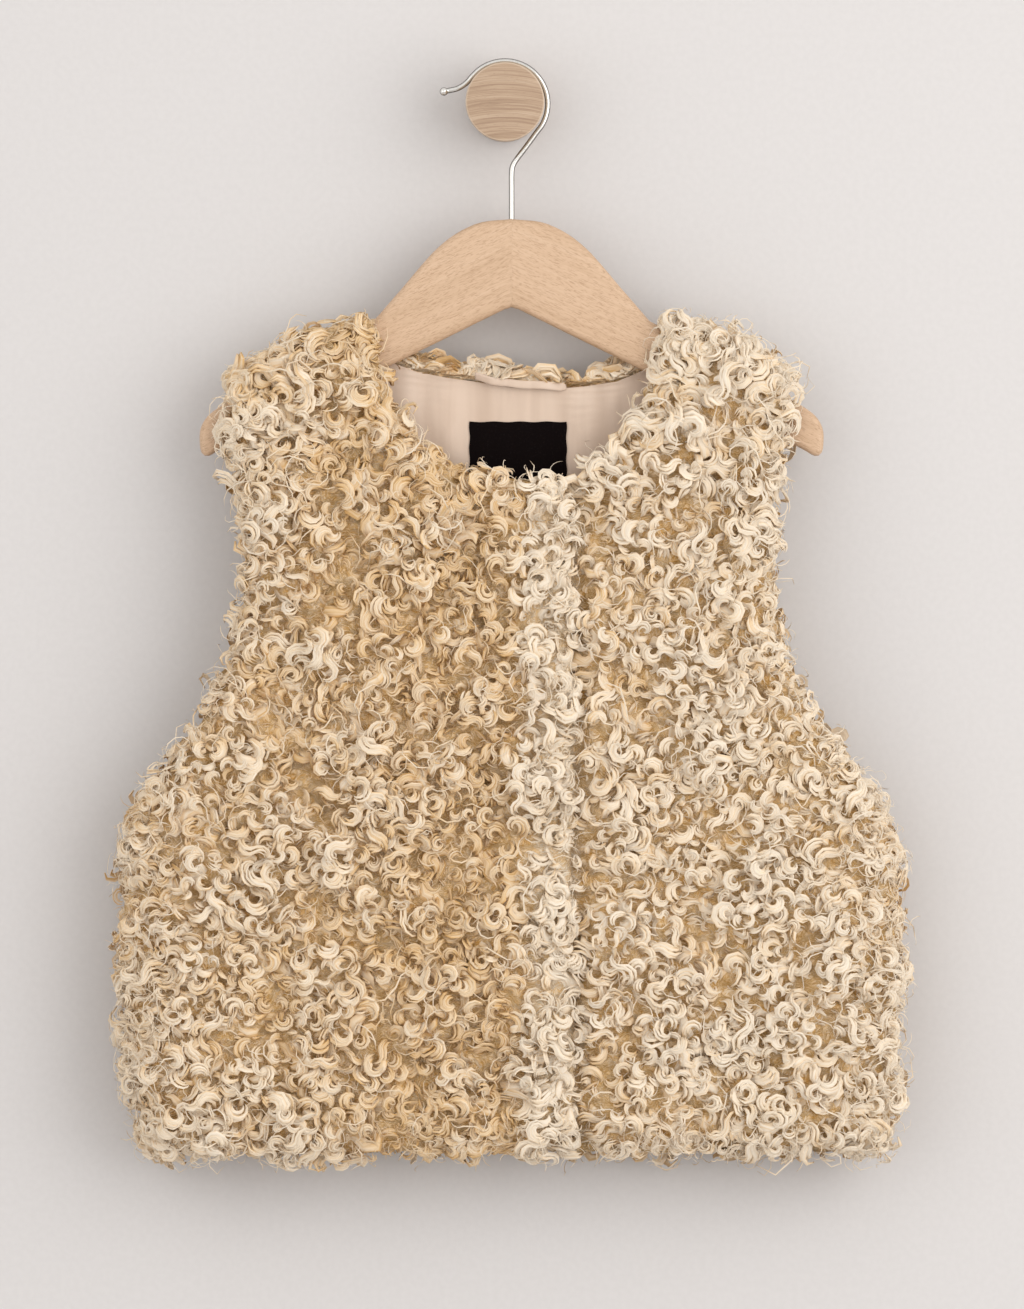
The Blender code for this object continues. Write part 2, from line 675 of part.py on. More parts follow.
def build():
    empty_scene()
    gilet = new_collection("faux_fur_gilet")
    cutters = new_collection("cutters")

    def fur(name):
        return new_material(name, (0.66, 0.50, 0.30), 0.9)

    front_right = HalfPanel(-1, -1, LAP_EDGE_X, FRONT_NECK[-1], FRONT_NECK_SHARE, LAP_ROLL, "over")
    front_left = HalfPanel(
        +1, -1, UNDERLAP_EDGE_X, FRONT_NECK[+1], FRONT_NECK_SHARE, UNDERLAP_ROLL, "under"
    )
    backs = [
        HalfPanel(side, +1, 0.0, BACK_NECK[side], BACK_NECK_SHARE, FLAT_ROLL, None)
        for side in (-1, +1)
    ]
    front_panel("front_right", front_right, gilet, fur("fur_front_right"))
    front_panel("front_left", front_left, gilet, fur("fur_front_left"))
    back_panel("back", backs, gilet, fur("fur_back"))
    satin = new_material("satin_lining", (0.60, 0.42, 0.33), 0.45)
    back_lining("back_lining", backs, gilet, satin)
    loop_cloth = new_material("loop_cloth", (0.60, 0.42, 0.33), 0.5)
    hanging_loop(backs[0], gilet, loop_cloth)
    neck_label(backs[0], gilet, new_material("label_black", (0.012, 0.012, 0.013), 0.6))
    wooden_hanger(gilet, cutters, new_material("hanger_beech", (0.62, 0.39, 0.20), 0.5))
    hook_wire(gilet, new_material("hook_steel", (0.70, 0.69, 0.66), 0.2, 1.0))
    wall_peg(gilet, new_material("peg_ash", (0.58, 0.40, 0.25), 0.6))


build()
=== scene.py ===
"""The looks of a child's curly faux fur gilet on a wooden hanger and wall peg.

Metres, +Z up, +Y into the wall, and the origin is the centre of the peg's back, as in the frame.
Left and right are the wearer's: the right front is at -X and laps over the left one.
"""

import math
import random
from collections import defaultdict, namedtuple
from itertools import product

import bmesh
import bpy
import numpy as np
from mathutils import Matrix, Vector


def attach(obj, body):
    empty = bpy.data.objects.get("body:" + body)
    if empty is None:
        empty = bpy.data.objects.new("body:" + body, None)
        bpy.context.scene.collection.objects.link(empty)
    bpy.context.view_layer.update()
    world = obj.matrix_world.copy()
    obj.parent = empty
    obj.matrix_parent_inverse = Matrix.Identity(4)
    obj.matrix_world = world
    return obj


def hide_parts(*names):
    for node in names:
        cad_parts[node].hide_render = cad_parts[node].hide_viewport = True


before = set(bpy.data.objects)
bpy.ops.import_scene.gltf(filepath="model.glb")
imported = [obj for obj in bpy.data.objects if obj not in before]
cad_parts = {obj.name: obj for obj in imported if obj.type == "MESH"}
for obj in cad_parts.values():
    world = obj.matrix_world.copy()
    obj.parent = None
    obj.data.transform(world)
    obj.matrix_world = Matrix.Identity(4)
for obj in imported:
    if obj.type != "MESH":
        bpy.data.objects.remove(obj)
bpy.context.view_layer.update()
bpy.ops.object.select_all(action="DESELECT")

# ---- Sizes of the gilet, as in its solids ------------------------------------------------------

PEG_DIAMETER = 0.0420
PEG_FRONT_DIAMETER = 0.0430
PEG_BACK_DIAMETER = 0.0402
PEG_LENGTH = 0.052
HANGER_CENTRE_X = 0.0036
HANGER_Y = -0.034
WIRE_DIAMETER = 0.003
WIRE_BALL_DIAMETER = 0.0046
HOOK_RADIUS = 0.0233
HOOK_ARC_DEGREES = (-43, 140)
SHANK_DEPTH = 0.013
HANGER_THICKNESS = 0.011
HANGER_ROUNDING = 0.0035
PEG_ROUNDING = 0.0010

SEAM_GAP = 0.0003
SEAT_ON_HANGER = 0.0004
HEM_Z = -0.5640
UNDERARM_Z = -0.3898
LAP_EDGE_X = 0.0272
UNDERLAP_EDGE_X = 0.0125
UNDERLAP_THICKNESS = 0.003
UNDERLAP_BARE_TO_X = 0.0315
UNDERLAP_HEM_RISE = 0.0035
LAP_BLEND = 0.020
LAP_LIFTS_BEFORE = 0.014  # the other front's edge, where the lap stands off it in full

FRONT_ROOM = 0.0140
BACK_ROOM = 0.0130
FRONT_ROOM_AT_HANGER = 0.0072
BACK_ROOM_AT_HANGER = 0.0084
ROOM_TOP_Z = -0.185
ROOM_FULL_Z = -0.310
HEM_WAVE = 0.0016
HEM_WAVE_LENGTH = 0.118

PILE_FRONT = 0.0165
PILE_BACK = 0.0135
PILE_EDGE = 0.0135
PILE_SHOULDER = 0.0175
PILE_NECK_POINT = 0.0095
NECK_POINT_X = 0.084
SHOULDER_FULL_X = 0.104
SHOULDER_FADE_Z = 0.030
CLUMP_PITCH = 0.034
CLUMP_ROW_SHARE = 0.87  # the distance between rows of clumps, of their pitch
CLUMP_SHAKE = 0.28  # how far a clump may lie off its place in the grid, of a cell
CLUMP_LEAST_CROWN = 0.55  # the lowest clump's height, of the highest one's
CLUMP_REACH = 0.75  # from a crown to its valley, of the pitch
CLUMP_RISE = 0.0105
CLUMP_LOST_AT_EDGE = 0.55  # how much flatter the clumps are along a free edge
CLUMP_SEED = 11

Point = namedtuple("Point", "x z")

SIDE_SEAM = {
    -1: (Point(-0.1885, HEM_Z), Point(-0.1969, -0.5377), Point(-0.2015, -0.4997),
         Point(-0.2029, -0.4561), Point(-0.2018, -0.4181), Point(-0.1995, UNDERARM_Z)),
    +1: (Point(0.1955, HEM_Z), Point(0.1995, -0.5377), Point(0.2010, -0.4997),
         Point(0.2025, -0.4561), Point(0.2020, -0.4181), Point(0.1945, UNDERARM_Z)),
}
ARMHOLE = {
    -1: (Point(-0.1995, UNDERARM_Z), Point(-0.1817, -0.3664), Point(-0.1627, -0.3420),
         Point(-0.1480, -0.3150), Point(-0.1393, -0.2850), Point(-0.1371, -0.2549),
         Point(-0.1382, -0.2222), Point(-0.1410, -0.1923), Point(-0.1442, -0.1570)),
    +1: (Point(0.1945, UNDERARM_Z), Point(0.1812, -0.3691), Point(0.1640, -0.3470),
         Point(0.1490, -0.3210), Point(0.1385, -0.2920), Point(0.1345, -0.2600),
         Point(0.1350, -0.2277), Point(0.1368, -0.1950), Point(0.1404, -0.1549)),
}
FRONT_NECK = {
    -1: (Point(LAP_EDGE_X, -0.2130), Point(-0.0040, -0.2128), Point(-0.0290, -0.2080),
         Point(-0.0495, -0.1940), Point(-0.0650, -0.1730), Point(-0.0760, -0.1480),
         Point(-0.0808, -0.1234)),
    +1: (Point(UNDERLAP_EDGE_X, -0.2120), Point(0.0300, -0.2105), Point(0.0490, -0.2030),
         Point(0.0660, -0.1861), Point(0.0780, -0.1635), Point(0.0845, -0.1420),
         Point(0.0865, -0.1234)),
}
BACK_NECK = {
    -1: (Point(0.0, -0.1552), Point(-0.0180, -0.1522), Point(-0.0390, -0.1492),
         Point(-0.0600, -0.1440), Point(-0.0750, -0.1350), Point(-0.0808, -0.1234)),
    +1: (Point(0.0, -0.1552), Point(0.0180, -0.1562), Point(0.0400, -0.1545),
         Point(0.0640, -0.1500), Point(0.0800, -0.1390), Point(0.0865, -0.1234)),
}
# The hanger is 340 mm wide. These run from its middle out to its tip and back underneath.
HANGER_TOP = (
    Point(0.0, -0.0634), Point(0.0196, -0.0661), Point(0.0392, -0.0781), Point(0.0609, -0.1025),
    Point(0.0751, -0.1189),
)
HANGER_SHOULDER = HANGER_TOP[-1]
HANGER_ARM_SLOPE = 0.557
HANGER_TIP = (
    Point(0.1500, -0.1606), Point(0.1592, -0.1658), Point(0.1660, -0.1712), Point(0.1696, -0.1778),
    Point(0.1700, -0.1852), Point(0.1690, -0.1908), Point(0.1655, -0.1926), Point(0.1590, -0.1890),
)
HANGER_NOTCH = Point(0.0, -0.1107)
HANGER_NOTCH_ROUNDING = 0.004
# The wire's centre line below and beyond its arc round the peg.
HOOK_SHANK = (
    Point(0.0036, -0.0620), Point(0.0036, -0.0490), Point(0.0036, -0.0385), Point(0.0042, -0.0345),
    Point(0.0062, -0.0310), Point(0.0105, -0.0253),
)
HOOK_TAIL = (
    Point(-0.0206, 0.0113), Point(-0.0234, 0.0091), Point(-0.0265, 0.0076), Point(-0.0296, 0.0069),
    Point(-0.0316, 0.0065),
)

Roll = namedtuple("Roll", "inward room lean")

SEAM_ROLL = (Roll(0.0, 0.00, 90), Roll(0.0, 0.38, 90), Roll(0.25, 0.82, 42), Roll(1.0, 1.00, 0))
FREE_ROLL = (Roll(0.0, 0.00, 74), Roll(0.25, 0.55, 50), Roll(0.60, 0.85, 24), Roll(1.0, 1.00, 0))
LAP_ROLL = (Roll(0.0, 1.00, 46), Roll(0.25, 1.00, 34), Roll(0.60, 1.00, 14), Roll(1.0, 1.00, 0))
UNDERLAP_ROLL = (Roll(0.0, 1.00, 0), Roll(0.80, 1.00, 0), Roll(1.70, 1.00, 0), Roll(2.2, 1.00, 0))
FLAT_ROLL = (Roll(0.0, 1.00, 0), Roll(0.25, 1.00, 0), Roll(0.60, 1.00, 0), Roll(1.0, 1.00, 0))
SHOULDER_ROLL = (Roll(0.0, 0.00, 90), Roll(0.0, 0.34, 90), Roll(0.12, 0.66, 64),
                 Roll(0.40, 0.92, 32), Roll(1.0, 1.00, 0))
SEAM_ROLL_WIDTH = 0.016
FREE_ROLL_WIDTH = 0.011
SHOULDER_ROLL_WIDTH = 0.007
HEM_ROOM_SHARE = 0.62
FRONT_EDGE_ROOM_SHARE = 0.87
BACK_EDGE_ROOM_SHARE = 0.93
UNDERARM_BLEND = 0.06
NECK_BLEND = 0.06
UNDERARM_SHARE = 0.40
FRONT_NECK_SHARE = 0.70
BACK_NECK_SHARE = 0.80
ROWS_BELOW_UNDERARM = 12
ROWS_ABOVE_UNDERARM = 17
COLUMNS_BETWEEN_ROLLS = 13
PANEL_HEIGHT = 0.44

# ---- Shader maths ------------------------------------------------------------------------------


class Socket:
    """An output of a shader node. Sums and products of sockets add the Math nodes they need."""

    def __init__(self, recipe, socket):
        self.recipe, self.socket = recipe, socket

    def maths(self, operation, *values):
        return self.recipe.node("ShaderNodeMath", {"operation": operation}, dict(enumerate(values)))

    def __add__(self, other):
        return self.maths("ADD", self, other)

    def __sub__(self, other):
        return self.maths("SUBTRACT", self, other)

    def __rsub__(self, other):
        return self.maths("SUBTRACT", other, self)

    def __mul__(self, other):
        return self.maths("MULTIPLY", self, other)

    def __truediv__(self, other):
        return self.maths("DIVIDE", self, other)

    def __pow__(self, other):
        return self.maths("POWER", self, other)

    def __abs__(self):
        return self.maths("ABSOLUTE", self)

    __radd__ = __add__
    __rmul__ = __mul__

    def below(self, other):
        return self.maths("LESS_THAN", self, other)

    def sine(self):
        return self.maths("SINE", self)

    def between(self, low, high):
        """0 at low, 1 at high, and smooth between them."""
        return self.recipe.node(
            "ShaderNodeMapRange", {"interpolation_type": "SMOOTHSTEP"}, {0: self, 1: low, 2: high}
        )


class Recipe:
    """One material, and the nodes of its colour, roughness and relief."""

    def __init__(self, name):
        self.material = bpy.data.materials.new(name)
        self.material.use_nodes = True
        self.tree = self.material.node_tree
        self.shader = self.tree.nodes["Principled BSDF"]

    def node(self, kind, settings=None, inputs=None, output=0):
        node = self.tree.nodes.new(kind)
        for name, value in (settings or {}).items():
            if name == "stops":
                self.set_stops(node.color_ramp, value)
            else:
                setattr(node, name, value)
        for name, value in (inputs or {}).items():
            self.feed(node.inputs[name], value)
        return Socket(self, node.outputs[output])

    def set_stops(self, ramp, stops):
        while len(ramp.elements) < len(stops):
            ramp.elements.new(1.0)
        for element, (place, colour) in zip(ramp.elements, stops):
            element.position = place
            element.color = (*colour, 1.0)

    def feed(self, target, value):
        if isinstance(value, Socket):
            self.tree.links.new(value.socket, target)
        elif isinstance(value, tuple) and target.type == "RGBA":
            target.default_value = (*value, 1.0)
        else:
            target.default_value = value

    def mixed(self, share, first, second):
        """A colour between two others."""
        return self.node(
            "ShaderNodeMix", {"data_type": "RGBA"}, {0: share, 6: first, 7: second}, output=2
        )

    def vectors(self, operation, *values, scale=None):
        """Vector Math on these values."""
        inputs = dict(enumerate(values))
        if scale is not None:
            inputs["Scale"] = scale
        return self.node("ShaderNodeVectorMath", {"operation": operation}, inputs)

    def ramp(self, share, stops):
        return self.node("ShaderNodeValToRGB", {"stops": stops}, {0: share})

    def places(self, output="Object"):
        return self.node("ShaderNodeTexCoord", output=output)

    def stretched(self, places, scale, turn=(0.0, 0.0, 0.0), shift=(0.0, 0.0, 0.0)):
        return self.node(
            "ShaderNodeMapping", inputs={"Vector": places, "Scale": scale, "Rotation": turn,
                                         "Location": shift},
        )

    def parts(self, places):
        """The x, y and z of a vector."""
        node = self.node("ShaderNodeSeparateXYZ", inputs={0: places}).socket.node
        return [Socket(self, out) for out in node.outputs]

    def joined(self, x, y, z):
        return self.node("ShaderNodeCombineXYZ", inputs={0: x, 1: y, 2: z})

    def noise(self, places, scale, detail=3.0, roughness=0.5, distortion=0.0):
        return self.node(
            "ShaderNodeTexNoise",
            inputs={"Vector": places, "Scale": scale, "Detail": detail, "Roughness": roughness,
                    "Distortion": distortion},
        )

    def finish(self, colour, roughness, relief=None, depth=0.0001, strength=1.0, **fixed):
        """Feeds the shader. relief is a height from 0 to 1, and depth is its size in metres."""
        self.feed(self.shader.inputs["Base Color"], colour)
        self.feed(self.shader.inputs["Roughness"], roughness)
        if relief is not None:
            bump = self.node(
                "ShaderNodeBump", inputs={"Height": relief, "Distance": depth, "Strength": strength}
            )
            self.feed(self.shader.inputs["Normal"], bump)
        for name, value in fixed.items():
            self.feed(self.shader.inputs[name.replace("_", " ")], value)
        return self.material


# ---- Finishes ----------------------------------------------------------------------------------

PALE_CREAM = (0.865, 0.765, 0.63)
CREAM = (0.845, 0.715, 0.55)
HONEY = (0.80, 0.605, 0.385)
TAN = (0.69, 0.455, 0.215)
DEEP_TAN = (0.50, 0.27, 0.075)

TILES = 8  # the locks' own map is a square of 8 x 8 tiles, one row for each tone


def fur_lock_finish():
    """Fine hairs along each lock, with painted light and shade: tan at its root and down its sides,
    cream along its crown.

    It reads only the map, where each tile runs along a lock and once round it."""
    fur = Recipe("curly_fur_locks")
    places = fur.node("ShaderNodeUVMap", {"uv_map": "OFBake"})
    along, around, _ = fur.parts(places)
    along_tiles, around_tiles = along * TILES, around * TILES
    tone = around_tiles.maths("FLOOR", around_tiles) / (TILES - 1)
    share = along_tiles.maths("FRACT", along_tiles)
    crown = (around_tiles.maths("FRACT", around_tiles) * (2 * math.pi) + math.pi / 2).sine()
    wide = fur.noise(fur.stretched(places, (9.0, 44.0, 1.0)), 1.0, 0.5).between(0.32, 0.68)
    fine = fur.noise(fur.stretched(places, (12.0, 90.0, 1.0)), 1.0, 1.0).between(0.32, 0.68)
    hairs = 0.55 * wide + 0.45 * fine
    # Painted light and shade: darker towards the root, deep in the pile, and paler along the crown
    # than down the sides and underneath.
    light = (share.between(0.0, 0.45) * 0.22 + tone * 0.46 + (hairs - 0.5) * 0.46
             + crown * 0.10 + 0.112)
    colour = fur.ramp(light, [(0.0, DEEP_TAN), (0.24, TAN), (0.46, HONEY), (0.70, CREAM),
                              (0.95, PALE_CREAM)])
    return fur.finish(
        colour, 0.66 - 0.15 * hairs, hairs, 0.00030, 0.6,
        Sheen_Weight=0.10, Sheen_Roughness=0.4, Sheen_Tint=(1.0, 0.88, 0.70),
        Specular_IOR_Level=0.18,
    )


def fur_base_finish():
    """The dense roots of the pile, seen between the curls."""
    fur = Recipe("fur_base")
    places = fur.places()
    warp = fur.node("ShaderNodeTexNoise", inputs={"Vector": places, "Scale": 70.0}, output=1)
    bent = fur.vectors("MULTIPLY_ADD", warp, (0.030, 0.030, 0.030), places)
    hairs = fur.noise(fur.stretched(bent, (420.0, 420.0, 2100.0)), 1.0, 2.0).between(0.3, 0.7)
    depth = fur.noise(places, 160.0, 2.0).between(0.3, 0.7)
    x, y, _ = fur.parts(places)
    # Painted light: the pile is paler down the front's closing, along the raised lapped edge.
    strip = x.between(0.010, 0.018) * x.between(0.044, 0.036) * y.below(HANGER_Y)
    light = 0.25 + depth * 0.35 + (hairs - 0.5) * 0.6 + strip * 0.30
    colour = fur.ramp(light, [(0.0, DEEP_TAN), (0.35, TAN), (0.75, HONEY), (1.0, CREAM)])
    return fur.finish(colour, 0.8, depth * 0.6 + hairs * 0.4, 0.0020, 0.8, Specular_IOR_Level=0.1)


def satin_finish():
    satin = Recipe("pinkish_beige_satin")
    places = satin.places()
    threads = satin.noise(satin.stretched(places, (5200.0, 1.0, 380.0)), 1.0, 2.0)
    cloudy = satin.noise(places, 22.0, 2.0)
    # Painted shade and sheen: soft bands of light and dark across the lining, standing in for light
    # on its creases.
    painted_fold_shade = satin.noise(satin.stretched(places, (110.0, 30.0, 11.0)), 1.0, 2.0, 0.5, 0.3)
    light = 0.38 + (cloudy - 0.5) * 0.30 + (painted_fold_shade - 0.5) * 0.75 + (threads - 0.5) * 0.12
    colour = satin.ramp(light, [(0.1, (0.555, 0.415, 0.315)), (0.4, (0.665, 0.52, 0.41)),
                                (0.7, (0.73, 0.585, 0.475))])
    return satin.finish(
        colour, 0.40 + 0.12 * threads, threads, 0.00006, 0.6,
        Sheen_Weight=0.3, Sheen_Roughness=0.4,
    )


def label_finish():
    cloth = Recipe("bare_black_label")
    places = cloth.places()
    _, _, up = cloth.parts(places)
    rows = (up * 9000.0).sine() * 0.5 + 0.5
    lint = cloth.noise(places, 900.0, 2.0)
    linty = lint.between(0.55, 0.8) * 0.6
    colour = cloth.mixed(linty, (0.004, 0.0022, 0.0022), (0.012, 0.009, 0.009))
    return cloth.finish(colour, 0.8 - 0.1 * rows, rows, 0.00005, 0.4, Specular_IOR_Level=0.04)


def beech_finish():
    """Pale beech, its grain and flecks along each arm of the hanger, mitred at the centre."""
    wood = Recipe("pale_beech")
    x, y, z = wood.parts(wood.places())
    off = abs(x - HANGER_CENTRE_X)
    fall = math.atan(HANGER_ARM_SLOPE) * 0.86
    along = off * math.cos(fall) - z * math.sin(fall)
    across = off * math.sin(fall) + z * math.cos(fall)
    side = (x - HANGER_CENTRE_X).below(0.0)
    grain_places = wood.joined(along * 22.0 + side * 3.0, y * 500.0, across * 640.0)
    grain = wood.noise(grain_places, 1.0, 3.0, 0.6, 0.2)
    fleck_places = wood.joined(along * 300.0 + side * 9.0, y * 1500.0, across * 2600.0)
    flecks = wood.noise(fleck_places, 1.0, 1.0).between(0.56, 0.64)
    bands = wood.noise(wood.joined(along * 5.0, y * 30.0, across * 70.0 + side * 5.0), 1.0, 2.0)
    light = 0.5 + (grain - 0.5) * 0.8 + (bands - 0.5) * 0.6
    plain = wood.ramp(light, [(0.15, (0.50, 0.33, 0.20)), (0.55, (0.61, 0.42, 0.275)),
                              (0.9, (0.67, 0.485, 0.335))])
    flecked = wood.mixed(flecks * 0.50, plain, (0.36, 0.205, 0.11))
    step = (z * 900.0).sine().maths("SIGN", (z * 900.0).sine()) * 0.0004
    joint = 1.0 - abs(x - HANGER_CENTRE_X + step).between(0.00010, 0.00040)
    colour = wood.mixed(joint * 0.12, flecked, (0.34, 0.21, 0.13))
    return wood.finish(
        colour, 0.46 + 0.12 * grain, grain * 0.4 - flecks * 0.6 - joint, 0.00012, 0.6,
    )


def peg_finish():
    """Plain pale wood with fine wavy lines across the peg's face, and a painted highlight along its
    rounded rim.
    """
    wood = Recipe("peg_wood")
    places = wood.places()
    x, y, z = wood.parts(places)
    sway = wood.noise(wood.stretched(places, (28.0, 6.0, 40.0)), 1.0, 2.0)
    arched = z + x * x * 6.0
    lines_at = wood.joined(x * 30.0, y * 12.0, arched * 1250.0 + sway * 2.6)
    lines = wood.noise(lines_at, 1.0, 2.0, 0.7).between(0.25, 0.75)
    thin = (arched * 2500.0 + sway * 6.0 + lines * 1.6).sine().between(0.72, 1.0)
    broad = wood.noise(wood.joined(x * 9.0, y * 6.0, arched * 190.0 + sway * 2.0), 1.0, 2.0)
    pores = wood.noise(wood.joined(x * 420.0, y * 90.0, z * 1900.0), 1.0, 2.0).between(0.60, 0.75)
    light = 0.5 + (lines - 0.5) * 0.60 + (broad - 0.5) * 0.5
    plain = wood.ramp(light, [(0.1, (0.30, 0.195, 0.125)), (0.5, (0.43, 0.30, 0.20)),
                              (0.9, (0.54, 0.405, 0.29))])
    pored = wood.mixed(pores * 0.35 + thin * 0.34, plain, (0.27, 0.17, 0.11))
    # A painted highlight: the rounded rim of the face is paler, as where it catches the light.
    out = (x * x + z * z) ** 0.5
    rim = out.between(PEG_FRONT_DIAMETER / 2 - 0.0011, PEG_FRONT_DIAMETER / 2 - 0.0004)
    colour = wood.mixed(rim * 0.6, pored, (0.66, 0.53, 0.40))
    return wood.finish(colour, 0.55 + 0.1 * lines, lines - pores * 0.5, 0.00015, 0.5)


def nickel_finish():
    """Polished wire, its reflection painted on: bright along its front, and dark along its sides.
    """
    metal = Recipe("polished_nickel")
    places = metal.places()
    marks = metal.noise(metal.stretched(places, (700.0, 700.0, 90.0)), 1.0, 3.0)
    _, y, _ = metal.parts(places)
    # Painted reflection: the wire's colour darkens towards its sides.
    painted_dark_flank = abs(y - HANGER_Y).between(WIRE_DIAMETER * 0.47, WIRE_DIAMETER * 0.25)
    bright = metal.mixed(marks.between(0.4, 0.8), (0.76, 0.745, 0.71), (0.66, 0.645, 0.61))
    colour = metal.mixed(painted_dark_flank, bright, (0.16, 0.15, 0.14))
    return metal.finish(colour, 0.12 + 0.14 * marks, marks, 0.00002, 0.3, Metallic=1.0)


def backdrop_finish():
    wall = Recipe("pale_wall")
    paint = wall.noise(wall.places(), 300.0, 3.0)
    colour = wall.mixed(paint.between(0.3, 0.7), (0.626, 0.607, 0.600), (0.641, 0.622, 0.615))
    return wall.finish(colour, 0.9, paint, 0.00005, 0.2)


# ---- Small helpers -----------------------------------------------------------------------------


def smooth_step(share):
    """0 to 1, level at both ends."""
    share = min(1.0, max(0.0, share))
    return share * share * (3 - 2 * share)


def mix(a, b, share):
    return a + (b - a) * share


def unit(vectors):
    return vectors / np.maximum(np.linalg.norm(vectors, axis=-1, keepdims=True), 1e-12)


def add_piece(name, mesh, finish, slot, smooth=True):
    """A finished piece on the gilet's one body."""
    obj = bpy.data.objects.new(name, mesh)
    bpy.context.scene.collection.objects.link(obj)
    mesh.materials.append(finish)
    if smooth:
        mesh.shade_smooth()
    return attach(obj, "root")


def finished_mesh(name, bm, merged_within=0.00001):
    """The mesh of bm, with its doubles merged and its faces pointing outwards."""
    bmesh.ops.remove_doubles(bm, verts=bm.verts, dist=merged_within)
    bmesh.ops.recalc_face_normals(bm, faces=bm.faces)
    mesh = bpy.data.meshes.new(name)
    bm.to_mesh(mesh)
    bm.free()
    return mesh


# ---- Panel grids -------------------------------------------------------------------------------


class Line:
    """A smooth line through points, read by the share of its length."""

    STEPS = 16

    def __init__(self, points):
        knots = [Vector((p.x, p.z)) for p in points]
        ends = [2 * knots[0] - knots[1], *knots, 2 * knots[-1] - knots[-2]]
        self.points = [knots[0]]
        for k in range(1, len(knots)):
            a, b, c, d = ends[k - 1:k + 3]
            for step in range(1, self.STEPS + 1):
                t = step / self.STEPS
                self.points.append(
                    0.5 * (2 * b + (c - a) * t + (2 * a - 5 * b + 4 * c - d) * t * t
                           + (3 * b - a - 3 * c + d) * t ** 3)
                )
        self.lengths = [0.0]
        for first, second in zip(self.points, self.points[1:]):
            self.lengths.append(self.lengths[-1] + (second - first).length)

    def at(self, share):
        reach = min(1.0, max(0.0, share)) * self.lengths[-1]
        for k in range(1, len(self.points)):
            if self.lengths[k] >= reach:
                part = (reach - self.lengths[k - 1]) / (self.lengths[k] - self.lengths[k - 1])
                return self.points[k - 1].lerp(self.points[k], part)
        return self.points[-1].copy()


class Edge:
    """Two lines that meet at a corner, read by the share of the panel's height."""

    def __init__(self, lower, upper, corner_share):
        self.lower, self.upper = Line(lower), Line(upper)
        self.corner_share = corner_share

    def at(self, share):
        if share <= self.corner_share:
            return self.lower.at(share / self.corner_share)
        return self.upper.at((share - self.corner_share) / (1 - self.corner_share))

    def outward(self, share, turn):
        """The direction in the panel's plane that leaves it across this edge."""
        near = 0.012
        lowest = self.corner_share if share >= self.corner_share else 0.0
        along = self.at(min(1.0, share + near)) - self.at(max(lowest, share - near))
        return (Vector((along.y, -along.x)) * turn).normalized()


class Clumps:
    """Rounded clumps of curls on a shaken grid, each with its own swirl."""

    def __init__(self, seed):
        chance = random.Random(seed)
        crowns = []
        for column in range(-12, 13):
            for row in range(-24, 2):
                shift = 0.5 * (row % 2)
                x = column + shift + chance.uniform(-CLUMP_SHAKE, CLUMP_SHAKE)
                z = row + chance.uniform(-CLUMP_SHAKE, CLUMP_SHAKE)
                height = chance.uniform(CLUMP_LEAST_CROWN, 1.0)
                crowns.append((x * CLUMP_PITCH, z * CLUMP_PITCH * CLUMP_ROW_SHARE, height))
        self.crowns = np.array(crowns)
        self.swirls = np.random.default_rng(seed).uniform(-math.pi, math.pi, len(crowns))

    def nearest(self, x, z):
        """(rise, crown's number) at each point. rise is 0 in the valleys and 1 on a crown."""
        away = np.hypot(x[:, None] - self.crowns[:, 0], z[:, None] - self.crowns[:, 1])
        rises = self.crowns[:, 2] * (1 - (away / (CLUMP_REACH * CLUMP_PITCH)) ** 2)
        best = rises.argmax(1)
        return np.maximum(0.0, rises[np.arange(len(x)), best]), best


def hanger_top_z(x):
    return HANGER_SHOULDER.z - (abs(x) - HANGER_SHOULDER.x) * HANGER_ARM_SLOPE


def on_hanger(points):
    """The points, with the last one seated on the hanger's arm."""
    last = points[-1]
    return (*points[:-1], Point(last.x, hanger_top_z(last.x) + SEAT_ON_HANGER))


